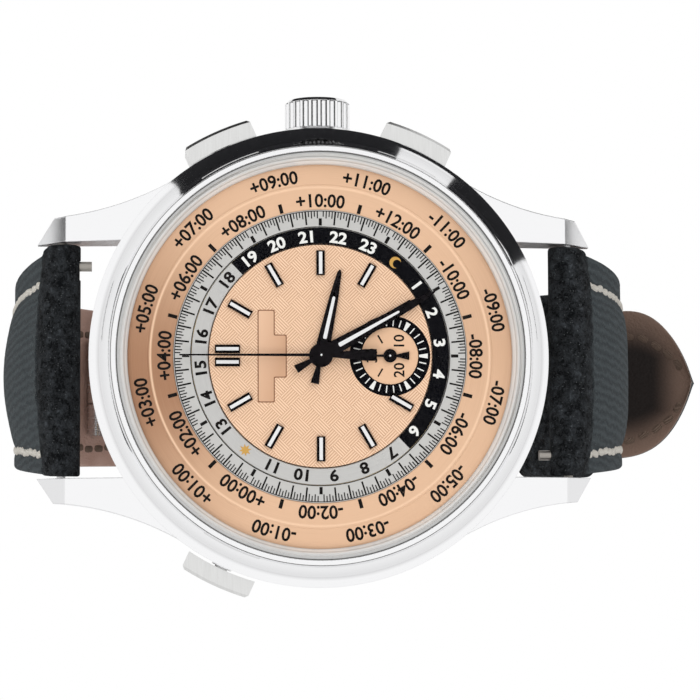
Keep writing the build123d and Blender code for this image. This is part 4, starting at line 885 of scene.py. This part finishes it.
def makePlaque(broad, stem, steps, corner, layers):
    # a broad plate on a narrow stem, each layer wider all round by its own border
    for name, border, rise, material in layers:
        (x0, x3), (x1, x2) = ((left - border, right + border) for left, right in (broad, stem))
        low, middle, high = steps[0] - border, steps[1] - border, steps[2] + border
        outline = softCorners([(x1, low), (x2, low), (x2, middle), (x3, middle), (x3, high), (x0, high),
                               (x0, middle), (x1, middle)], corner)
        makePiece(name, *flatShape(outline, dial.top, dial.top + rise), "case", "salmon_dial", material)


makePlaque(**plaqueLook)

# small dial: salmon floor, white ticks, six wedges and three numbers
subLook = dict(
    centre=(0.0, -6.15), floor=2.53, floorThick=0.03, recess=0.08, soft=0.005, cap=0.9, bold=0.015,
    tick=(2.66, 3.3, 0.1), wedge=(2.6, 3.37, 0.2), wedgeOuter=0.44, dash=(1.3, 2.12, 0.15),
    numbers=(("30", 0, 1.6), ("10", 123, 1.5), ("20", 237, 1.5)))


def makeSubDial(centre, floor, floorThick, recess, soft, cap, bold, tick, wedge, wedgeOuter, dash, numbers):
    low, high = dial.top - recess - floorThick, dial.top - recess + dial.ink
    profile = softCorners(oblong(0.0, floor, low, high), soft, closed=False)
    lathe("subFloor", profile, "case", "salmon_dial", salmonPlain, 96, closed=False, centre=centre)
    count = np.arange(30)
    levels = dial.top, dial.top + dial.ink
    ticks = radialBars(count[count % 5 != 0] * 12, *tick, *levels, centre=centre)
    wedges = radialBars(np.arange(6) * 60, *wedge, *levels, outerWidth=wedgeOuter, centre=centre)
    makePiece("subTicks", *joined(ticks, wedges), "case", "silver_ring", whitePrint)
    words = ringText(numbers, high, cap, bold, centre=centre)
    dashes = radialBars([60, 300], *dash, high, high + dial.ink, centre=centre)
    makePiece("subNumbers", *joined(words, dashes), "case", "black_lacquer", blackPrint)


makeSubDial(**subLook)

# white inlays on the markers and hands, and the caps of the hands
inlayLook = dict(
    marker=(7.26, 9.24, 0.3), markerTop=9.95, pairOffset=0.58, rise=0.012, handTop=0.14, soft=0.12,
    hands=(("hourInlay", "hour_hand", 102.7, 9.95, (1.5, 5.4), (0.17, 0.13)),
           ("minuteInlay", "minute_hand", 150.7, 10.25, (1.8, 8.0), (0.19, 0.1)),
           ("counterInlay", "counter_hand", 0.0, 9.72, (0.62, 2.1), (0.06, 0.03))))


def makeInlays(marker, markerTop, pairOffset, rise, handTop, soft, hands):
    levels = markerTop, markerTop + rise
    single = radialBars([30 * h for h in range(1, 12) if h != 6], *marker, *levels)
    pair = [radialBars(0, *marker, *levels, centre=(offset, 0)) for offset in (-pairOffset, pairOffset)]
    makePiece("markerInlays", *joined(single, *pair), "case", "silver_ring", whiteInlay)
    for name, body, heading, level, (start, end), (root, tip) in hands:
        # tapered along the hand and rounded at its ends
        outline = [(-root, start), (-tip, end - tip), (0, end), (tip, end - tip), (root, start)]
        outline = aimed(softCorners(outline, soft), heading)
        shape = flatShape(outline, level + handTop, level + handTop + rise)
        makePiece(name, *shape, body, "silver_ring", whiteInlay)


makeInlays(**inlayLook)

capLook = dict(
    ring=(0.42, 0.5), rise=0.02, soft=0.008, pin=0.11, dome=0.05, hubTop=10.72, pinLevels=(-0.02, 0.02, 0.03),
    pins=(("hubPin", "chrono_seconds", 10.72, (0.0, 0.0)), ("smallPin", "counter_hand", 9.86, (0.0, -6.15))))


def makeHandCaps(ring, rise, soft, pin, dome, hubTop, pinLevels, pins):
    # a fine ring and a bright domed pin over the hub of the seconds hand, and a pin on the small hand
    profile = softCorners(oblong(*ring, hubTop, hubTop + rise), soft)
    lathe("hubRing", profile, "chrono_seconds", "hand_black", blackPolish, 64)
    reach = np.linspace(pin, 0, 8)
    for name, body, level, centre in pins:
        low, side, foot = (level + step for step in pinLevels)
        top = np.stack([reach, foot + dome * np.sqrt(1 - (reach / pin) ** 2)], -1)
        profile = np.concatenate([[(0.0, low), (pin, low), (pin, side)], top])
        lathe(name, profile, body, "polished_steel", polishedSteel, 32, closed=False, centre=centre)


makeHandCaps(**capLook)
print("dial printed")

# strap: each piece is worked out along its middle line, across it, and out from it
strapLook = dict(
    width=20.9, endWidth=16.0, taper=60.0, skin=1.2, rootEdge=1.5, rootCrown=0.6, endEdge=0.9, flatCrown=0.04,
    crease=0.9, creaseDepth=0.12, creaseWidth=0.3, padRise=2.2, padFull=27.0, domeShare=0.78, domeEase=1.25,
    tufts=0.2, tuftSize=0.45, tuftFade=0.85, groove=0.16, grooveWidth=0.55, grooveRise=(0.1, 0.8),
    edgeSoft=0.45, seam=-0.5, seamHalf=0.02, liningFrom=5.2, liningGap=3.5, loop=1.7, tip=8.5, tipHalf=0.05,
    tipCurve=2.7, tipRound=0.8, cup=1.3, cupLength=15.0, cupEase=1.6, tailShift=0.9, tailFrom=18.0,
    tailLength=14.0, thinnest=0.01, bottomSteps=24, rowStep=0.5, creaseRows=(3, 0.15), overrun=3.0,
    tableStep=0.05, barReach=23.1, barHeight=3.0, holeReach=61.2, holePitch=6.0, holeRadius=0.9, holeHalf=3.0,
    holes=6, knobReach=8.2, knobSlot=(-0.9, 0.95, -2.0, 0.0), slotHalf=0.6)
stitchLook = dict(
    inset=2.35, shift=0.45, pitch=1.5, length=1.55, half=0.36, jitter=(0.08, 0.1, 0.16), start=1.5, end=4.0,
    tipBow=1.4, sink=0.12, outside=(0.05, 0.2), inside=(0.0, 0.12), insideGaps=(1.2, 1.0))
longStrap = dict(
    side=1, lean=22.5, flatFrom=58.2, tipped=True, endLoop=0.0, padEdge=0.5, padCrown=1.05, domePower=2.0,
    legs=((26.0, 22.5), (20.5 * math.pi / 2, 90.0), (38.7, 0.0), (5.0, 9.0), (8.0, 9.0)))
shortStrap = dict(
    side=-1, lean=38.0, flatFrom=58.81, tipped=False, endLoop=1.3, padEdge=0.35, padCrown=0.65, domePower=4.0,
    legs=((26.0, 38.0), (17.4 * math.radians(85), 85.0), (7.0, 0.0)))
look, stitch = SimpleNamespace(**strapLook), SimpleNamespace(**stitchLook)


def strapTable(strap):
    # the strap's middle line in the YZ plane: the heading turns evenly along each leg and is summed up
    lengths, turns = zip(*strap["legs"])
    ends = np.cumsum(lengths)
    s = np.arange(-look.overrun, ends[-1] + look.overrun, look.tableStep)
    bend = np.zeros_like(s)
    for start, end, turn in zip(ends - np.array(lengths), ends, turns):
        bend += np.clip((s - start) / (end - start), 0, 1) * math.radians(turn)
    heading = math.radians(-90 + strap["lean"]) - bend
    middle = (heading[1:] + heading[:-1]) / 2
    y, z = (np.concatenate([[0], np.cumsum(way(middle) * look.tableStep)]) for way in (np.cos, np.sin))
    y += look.barReach - np.interp(0, s, y)
    z += look.barHeight - np.interp(0, s, z)
    return SimpleNamespace(**strap, s=s, y=y, z=z, heading=heading, total=float(ends[-1]))


def lineAt(strap, s):
    # the middle line's place and heading
    return [np.interp(s, strap.s, values) for values in (strap.y, strap.z, strap.heading)]


def strapPoint(strap, s, x, t):
    # s along the strap, x across it, t out from the middle line towards the outside of the loop
    y, z, heading = lineAt(strap, s)
    if strap.tipped:
        cup = look.cup * smoothStep((s - strap.total + look.cupLength) / look.cupLength * look.cupEase)
        t = t - cup * (x / strapHalf(strap, s)) ** 2
        x = x + look.tailShift * smoothStep((s - strap.total + look.tailFrom) / look.tailLength)
    y, z = strap.side * (y - t * np.sin(heading)), z + t * np.cos(heading)
    return np.stack(np.broadcast_arrays(x, y, z), -1)


def smoothStep(share):
    share = np.clip(share, 0, 1)
    return share * share * (3 - 2 * share)


def strapHalf(strap, s):
    # half the width: a quarter sine narrows it, and the tip closes by a power curve
    narrower = (look.width - look.endWidth) * np.sin(np.clip(s / look.taper, 0, 1) * math.pi / 2)
    half = (look.width - narrower) / 2
    if strap.tipped:
        share = np.clip((look.tip - (strap.total - s)) / look.tip, 0, 1)
        half = np.maximum(half * (1 - share ** look.tipCurve) ** look.tipRound, look.tipHalf)
    return half


def roughness(s, x, size):
    # smooth noise from 0 to 1: seeded values on a square net of the given size, blended between its knots
    knots = np.random.default_rng(11).random((64, 64))
    u, v = np.broadcast_arrays(s / size, x / size)
    i, j = np.floor(u).astype(int), np.floor(v).astype(int)
    a, b = smoothStep(u - i), smoothStep(v - j)
    near, far = (knots[row % 64, j % 64] * (1 - b) + knots[row % 64, (j + 1) % 64] * b for row in (i, i + 1))
    return near * (1 - a) + far * a


def strapTop(strap, s, x):
    # outer face: a tufted root up to the crease, then a padded dome between two flat stitched borders,
    # which dies out towards the clasp; the long edges are rounded and both ends close round
    half = strapHalf(strap, s)
    pad = smoothStep((s - look.crease) / look.padRise)
    flat = smoothStep((s - look.padFull) / (strap.flatFrom - look.padFull))
    edge = look.rootEdge + (strap.padEdge - look.rootEdge) * pad
    edge = edge + (look.endEdge - edge) * flat
    crown = (look.rootCrown + (strap.padCrown - look.rootCrown) * pad) * (1 - flat) + look.flatCrown
    reach = half * (1 + (look.domeShare - 1) * pad)
    dome = np.clip(1 - np.abs(x / reach) ** strap.domePower, 0, None) ** look.domeEase
    past = np.clip(np.abs(x) - (half - look.edgeSoft), 0, look.edgeSoft)
    soft = look.edgeSoft - np.sqrt(look.edgeSoft ** 2 - past ** 2)
    seam = np.abs(x + stitch.shift) - half + stitch.inset
    begins, rises = look.grooveRise
    deep = look.groove * smoothStep((s - look.crease - begins) / rises)
    groove = deep * np.exp(-(seam / look.grooveWidth) ** 2)
    fold = look.creaseDepth * np.exp(-((s - look.crease) / look.creaseWidth) ** 2)
    tuft = look.tufts * (roughness(s, x, look.tuftSize) - 0.5) * (1 - look.tuftFade * pad)
    nose = np.sqrt(np.clip(1 - (np.clip(-s, 0, look.loop) / look.loop) ** 2, 0, 1))
    tail = np.sqrt(np.clip(1 - (np.clip(s - strap.total, 0, None) / max(strap.endLoop, 0.01)) ** 2, 0, 1))
    return (edge + crown * dome - soft - groove - fold + tuft) * nose * tail


def strapBottom(strap, s):
    # wrist side of the cover: the bare cloth, then the seam on the lining, with both ends closing round
    flat = np.where(s > look.liningFrom, look.seam, -look.skin)
    loop = -np.sqrt(np.clip(look.loop ** 2 - s ** 2, 0, None))
    end = -np.sqrt(np.clip(strap.endLoop ** 2 - (s - strap.total) ** 2, 0, None))
    low = np.minimum(np.where(s < 0, 0.0, flat), loop)
    return np.where(s > strap.total, end, np.minimum(low, end)) if strap.endLoop else low


def strapTube(strap, s, topOf, bottomOf, topSteps=150, soft=0.2):
    # a closed section at each row: over the top, down the side and back along the bottom, closed at both ends
    half = strapHalf(strap, s)[:, None]
    xTop = half * np.sin(np.linspace(-math.pi / 2, math.pi / 2, topSteps))[None]
    tTop = topOf(s[:, None], xTop)
    inset = np.minimum(soft, half * 0.4)
    flat, side = (half - inset) * np.linspace(1, -1, look.bottomSteps), half - inset * 0.3
    xLow = np.concatenate([half, side, flat, -side, -half], 1)
    tLow = bottomOf(s)[:, None] + np.concatenate([inset, inset * 0.3, flat * 0, inset * 0.3, inset], 1)
    tLow = np.minimum(tLow, np.minimum(tTop[:, -1:], tTop[:, :1]) - look.thinnest)
    x, t = np.concatenate([xTop, xLow], 1), np.concatenate([tTop, tLow], 1)
    along = np.broadcast_to(s[:, None], x.shape)
    points, uv = strapPoint(strap, along, x, t), np.stack([along, x], -1)
    start, end = (np.broadcast_to(row.mean(0), row.shape)[None] for row in (points[0], points[-1]))
    points, uv = np.concatenate([start, points, end]), np.concatenate([uv[:1], uv, uv[-1:]])
    return points.reshape(-1, 3), gridFaces(*points.shape[:2], False, True), uv.reshape(-1, 2)


def strapRows(strap, start, end):
    # even rows, closer together round the nose, the crease and the tip
    rows = [np.arange(start, end, look.rowStep), [start, end]]
    rows.append([look.liningFrom - look.seamHalf, look.liningFrom + look.seamHalf])
    if start < 0:
        nose = look.loop * (1 - np.cos(np.linspace(0, math.pi / 2, 16)))
        rows += [start + nose, np.arange(0, *look.creaseRows)]
    length, count = (look.tip, 24) if strap.tipped else (strap.endLoop, 10)
    rows.append(end - length * (1 - np.sin(np.linspace(0, math.pi / 2, count))))
    rows = np.unique(np.concatenate(rows))
    return rows[(rows >= start) & (rows <= end)]


def cutAway(piece, verts, faces):
    # bores and slots: the cutter is a plain closed mesh, used once and thrown away
    mesh = newMesh("cutter", verts, faces)
    cutter = newObject("cutter", mesh)
    modifier = piece.modifiers.new("cut", "BOOLEAN")
    modifier.object, modifier.operation, modifier.solver = cutter, "DIFFERENCE", "EXACT"
    cut = meshOf(piece)
    piece.modifiers.clear()
    old, piece.data = piece.data, cut
    cut.name = old.name
    bpy.data.meshes.remove(old)
    bpy.data.objects.remove(cutter)
    bpy.data.meshes.remove(mesh)


def upright(y, low, high, radius, steps=32):
    # a closed cylinder along Z
    turn = wheelTurn(steps)
    return flatShape(np.stack([radius * np.cos(turn), y + radius * np.sin(turn)], -1), low, high)


def beads(strap, s, x, turn, lift, height, inward=False):
    # stitches: capsules laid along the strap, bent with it; each is eight rings of eight points
    u = np.linspace(-1, 1, 8)
    ring = wheelTurn(8)
    fat = np.sqrt(np.clip(1 - np.abs(u) ** 4, 0, 1))[:, None]
    along = (u * stitch.length / 2)[:, None] * np.ones(8)
    across, up = fat * stitch.half * np.cos(ring), fat * height * np.sin(ring)
    s, x, turn = (value[:, None, None] for value in (s, x, turn))
    sAt = s + (along * np.cos(turn) - across * np.sin(turn))
    xAt = x + (along * np.sin(turn) + across * np.cos(turn))
    face = -look.skin if inward else strapTop(strap, s, x)
    sink = stitch.sink * (u ** 4)[None, :, None]
    t = face + (-(lift + up) + sink if inward else lift + up - sink)
    faces = (gridFaces(8, 8, False, True)[None] + (np.arange(len(s)) * 64)[:, None, None]).reshape(-1, 4)
    return strapPoint(strap, sAt, xAt, t).reshape(-1, 3), faces


def runAlong(curve):
    # the way gone at each point of a curve
    return np.concatenate([[0], np.cumsum(np.linalg.norm(np.diff(curve, axis=0), axis=1))])


def stitchLine(strap):
    # evenly spaced along both edges, and round the pointed end where there is one, each a little out of line
    end = strap.total - (look.tip if strap.tipped else stitch.end)
    s = np.arange(look.crease + stitch.start, end, stitch.pitch)
    x = strapHalf(strap, s) - stitch.inset
    spots = [np.stack([s, side * x - stitch.shift, np.zeros_like(s)], -1) for side in (-1, 1)]
    if strap.tipped:
        phi = np.linspace(0, math.pi, 400)
        deep = look.tip - stitch.inset
        bow = s[-1] + stitch.pitch + deep * np.sin(phi) ** stitch.tipBow
        curve = np.stack([bow, x[-1] * np.cos(phi)], -1)
        run = runAlong(curve)
        at = np.linspace(0, run[-1], int(run[-1] / stitch.pitch) + 1)
        tipS, tipX = np.interp(at, run, curve[:, 0]), np.interp(at, run, curve[:, 1]) - stitch.shift
        spots.append(np.stack([tipS, tipX, np.arctan2(np.gradient(tipX), np.gradient(tipS))], -1))
    spots = np.concatenate(spots)
    return spots + np.random.default_rng(5).uniform(-1, 1, spots.shape) * stitch.jitter


def makeStrap(prefix, strap, body, knobSide):
    strap = strapTable(strap)
    verts, faces, uv = strapTube(strap, strapRows(strap, -look.loop, strap.total + strap.endLoop),
                                 partial(strapTop, strap), partial(strapBottom, strap))
    cover = makePiece(prefix + "Cover", verts, faces, body, "strap_fabric", strapCloth, uv=uv, crease=50,
                      welded=True)
    # a slot for the release knob, and the holes of the pointed piece
    slot = np.array(oblong(*look.knobSlot)) * (1, knobSide)
    slot = slot + (knobSide * look.knobReach, knobSide * look.barReach)
    cutters = [flatShape(slot, look.barHeight - look.slotHalf, look.barHeight + look.slotHalf)]
    if strap.tipped:
        spots = look.holeReach + np.arange(look.holes) * look.holePitch
        centres = strapPoint(strap, spots, 0 * spots, 0 * spots)
        cutters += [upright(y, z - look.holeHalf, z + look.holeHalf, look.holeRadius) for _, y, z in centres]
    cutAway(cover, *joined(*cutters))
    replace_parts(cover, f"{body}_cover")
    # the lining: flat on both faces, with the gap to its outline in its UV map
    end = strap.total if strap.tipped else strap.total - look.liningGap
    verts, faces, uv = strapTube(strap, strapRows(strap, look.liningFrom, end),
                                 lambda s, x: look.seam + 0 * x * s, lambda s: 0 * s - look.skin,
                                 topSteps=14, soft=0.3)
    uv[:, 1] = np.minimum(strapHalf(strap, uv[:, 0]) - np.abs(uv[:, 1]), strap.total - uv[:, 0])
    # the short piece's way is set to zero, so only the long piece's tail takes the painted shadow
    uv[:, 0] *= strap.tipped
    lining = makePiece(prefix + "Lining", verts, faces, body, "strap_lining", liningLeather, uv=uv, crease=50,
                       welded=True)
    if strap.tipped:
        cutAway(lining, *joined(*cutters[1:]))
    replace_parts(lining, f"{body}_lining")
    spots = stitchLine(strap)
    outside = beads(strap, *spots.T, *stitch.outside)
    makePiece(prefix + "Stitches", *outside, body, "strap_lining", creamThread, crease=80)
    first, last = stitch.insideGaps
    spots = spots[(spots[:, 0] > look.liningFrom + first) & (spots[:, 0] < end - last)]
    inside = beads(strap, *spots.T, *stitch.inside, inward=True)
    makePiece(prefix + "UnderStitches", *inside, body, "strap_lining", brownThread, crease=80)
    return strap


makeStrap("long", longStrap, "strap_12", 1)
shortTable = makeStrap("short", shortStrap, "strap_6", -1)

keeperLook = dict(along=38.907, length=5.0, wall=0.9, high=1.8, low=3.8, air=0.15, corner=1.3, soft=0.3)


def makeKeeper(strap, along, length, wall, high, low, air, corner, soft):
    # a flat band round the short piece: a rounded oblong section carried round a rounded oblong loop
    thick = wall / 2
    half = float(strapHalf(strap, along - length)) + air + thick
    loop = softCorners(oblong(-half, half, -high - thick, low + thick), corner, steps=9)
    run = np.roll(loop, -1, axis=0) - np.roll(loop, 1, axis=0)
    normal = np.stack([run[:, 1], -run[:, 0]], -1) / np.linalg.norm(run, axis=1, keepdims=True)
    section = softCorners(oblong(-length / 2, length / 2, -thick, thick), soft, steps=5)
    x, t = (loop[:, None, axis] + normal[:, None, axis] * section[None, :, 1] for axis in (0, 1))
    y, z, heading = lineAt(strap, along)
    flat = section[None, :, 0] * np.ones_like(x)
    y, z = (y + flat * math.cos(heading) - t * math.sin(heading),
            z + flat * math.sin(heading) + t * math.cos(heading))
    points = np.stack([x, strap.side * y, z], -1)
    # the UV's way runs below zero, so the band takes the near-black root cloth, darker than the pad: painted
    # shade for the shadow it lies in
    uv = np.stack([flat - length, runAlong(loop)[:, None] * np.ones_like(flat)], -1)
    faces = gridFaces(*points.shape[:2], True, True)
    piece = makePiece("keeperLoop", points.reshape(-1, 3), faces, "strap_6", "strap_fabric", strapCloth,
                      uv=uv.reshape(-1, 2))
    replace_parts(piece, "strap_keeper")


makeKeeper(shortTable, **keeperLook)
print("strap sewn")

# studio: a white floor and world, two soft lamps, and dark cards that only reflections see: two lie low and
# stand up at the far side, one hangs between them, and two small ones face the ends of the lugs
studioLook = dict(
    floorHeight=-112.0, floorHalf=2250.0, floorColour=(0.93, 0.93, 0.93), floorLift=(1.0, 0.55),
    worldLight=0.66, horizon=(-0.03, 0.16), horizonTone=0.76, cardReach=(64.0, 120.0),
    cardLevels=(-44.1, 25.0, 62.0), cardSteps=12,
    cards=((-22.6, 35.6, True), (-62.5, -37.0, True), (-37.0, -22.6, False)),
    lugCards=((90.0, (12.0, 40.0), (-6.9, -4.9)), (-90.0, (12.0, 40.0), (-14.7, -12.7))),
    lamps=(("keyLamp", 0.35, 180.0, (-120.0, 90.0, 300.0)),
           ("fillLamp", 0.18, 240.0, (160.0, -120.0, 260.0))))


def makeStudio(floorHeight, floorHalf, floorColour, floorLift, worldLight, horizon, horizonTone, cardReach,
               cardLevels, cardSteps, cards, lugCards, lamps):
    scene = bpy.context.scene
    scene.world = bpy.data.worlds.new("studio")
    scene.world.use_nodes = True
    tree = scene.world.node_tree
    seen, glossy = raySeen(tree)
    # metal sees a softer tone low down, so that its steep faces part from its flat ones
    rise = parted(put(tree, "TexCoord").outputs["Generated"])[2]
    share = ramp(rise, *horizon, horizonTone, 1.0)
    tone = mixColour(glossy, (*[worldLight] * 3, 1), vector(share, share, share))
    fill(tree.nodes["Background"].inputs, {0: mixColour(seen, tone, (1, 1, 1, 1))})
    floorMaterial, tree = newMaterial("paleFloor", Base_Color=(*floorColour, 1), Roughness=0.9)
    seen, glossy = raySeen(tree)
    share = highest(times(seen, floorLift[0]), times(glossy, floorLift[1]))
    fadeTo(floorMaterial, share, put(tree, "Emission", {"Color": (1, 1, 1, 1), "Strength": 1.0}))
    corners = [(*corner, floorHeight) for corner in oblong(-floorHalf, floorHalf, -floorHalf, floorHalf)]
    staged = [sheetOf("floor", corners, [(0, 1, 2, 3)], floorMaterial)]
    cardMaterial = newMaterial("darkCard", Base_Color=(0.01, 0.01, 0.012, 1), Roughness=1.0)[0]
    (near, far), (bed, foot, top) = cardReach, cardLevels
    sheets = []
    for start, end, isLying in cards:
        turn = np.radians(np.linspace(start, end, cardSteps))
        away = np.stack([np.cos(turn), np.sin(turn)], -1)
        rows = [(near, bed), (far, bed), (far, top)] if isLying else [(far, foot), (far, top)]
        verts = [np.column_stack([away * reach, np.full(cardSteps, level)]) for reach, level in rows]
        sheets.append((np.concatenate(verts), gridFaces(len(rows), cardSteps, False, False)))
    for y, across, levels in lugCards:
        sheets.append(([(x, y, z) for x, z in oblong(*across, *levels)], [(0, 1, 2, 3)]))
    for verts, faces in sheets:
        card = sheetOf("darkCard", verts, faces, cardMaterial)
        card.visible_camera = card.visible_shadow = card.visible_diffuse = card.visible_transmission = False
        staged.append(card)
    for name, strength, spread, spot in lamps:
        data = bpy.data.lights.new(name, "AREA")
        data.energy, data.size, data.shape = strength, spread * mm, "DISK"
        lamp = newObject(name, data)
        lamp.location = Vector(spot) * mm
        lamp.rotation_euler = (-lamp.location).to_track_quat("-Z", "Y").to_euler()
        lamp.visible_camera = lamp.visible_glossy = lamp.visible_transmission = False
        staged.append(lamp)
    scene.view_settings.view_transform = "Standard"


def raySeen(tree):
    # rays that show the surface itself, straight or through glass, and rays that mirror it
    path = put(tree, "LightPath").outputs
    return highest(path["Is Camera Ray"], path["Is Transmission Ray"]), path["Is Glossy Ray"]


def sheetOf(name, verts, faces, material):
    # an open sheet of the studio
    mesh = newMesh(name, verts, faces)
    mesh.materials.append(material)
    return newObject(name, mesh)


makeStudio(**studioLook)
aimCamera(**cameraLook)
print("studio lit")
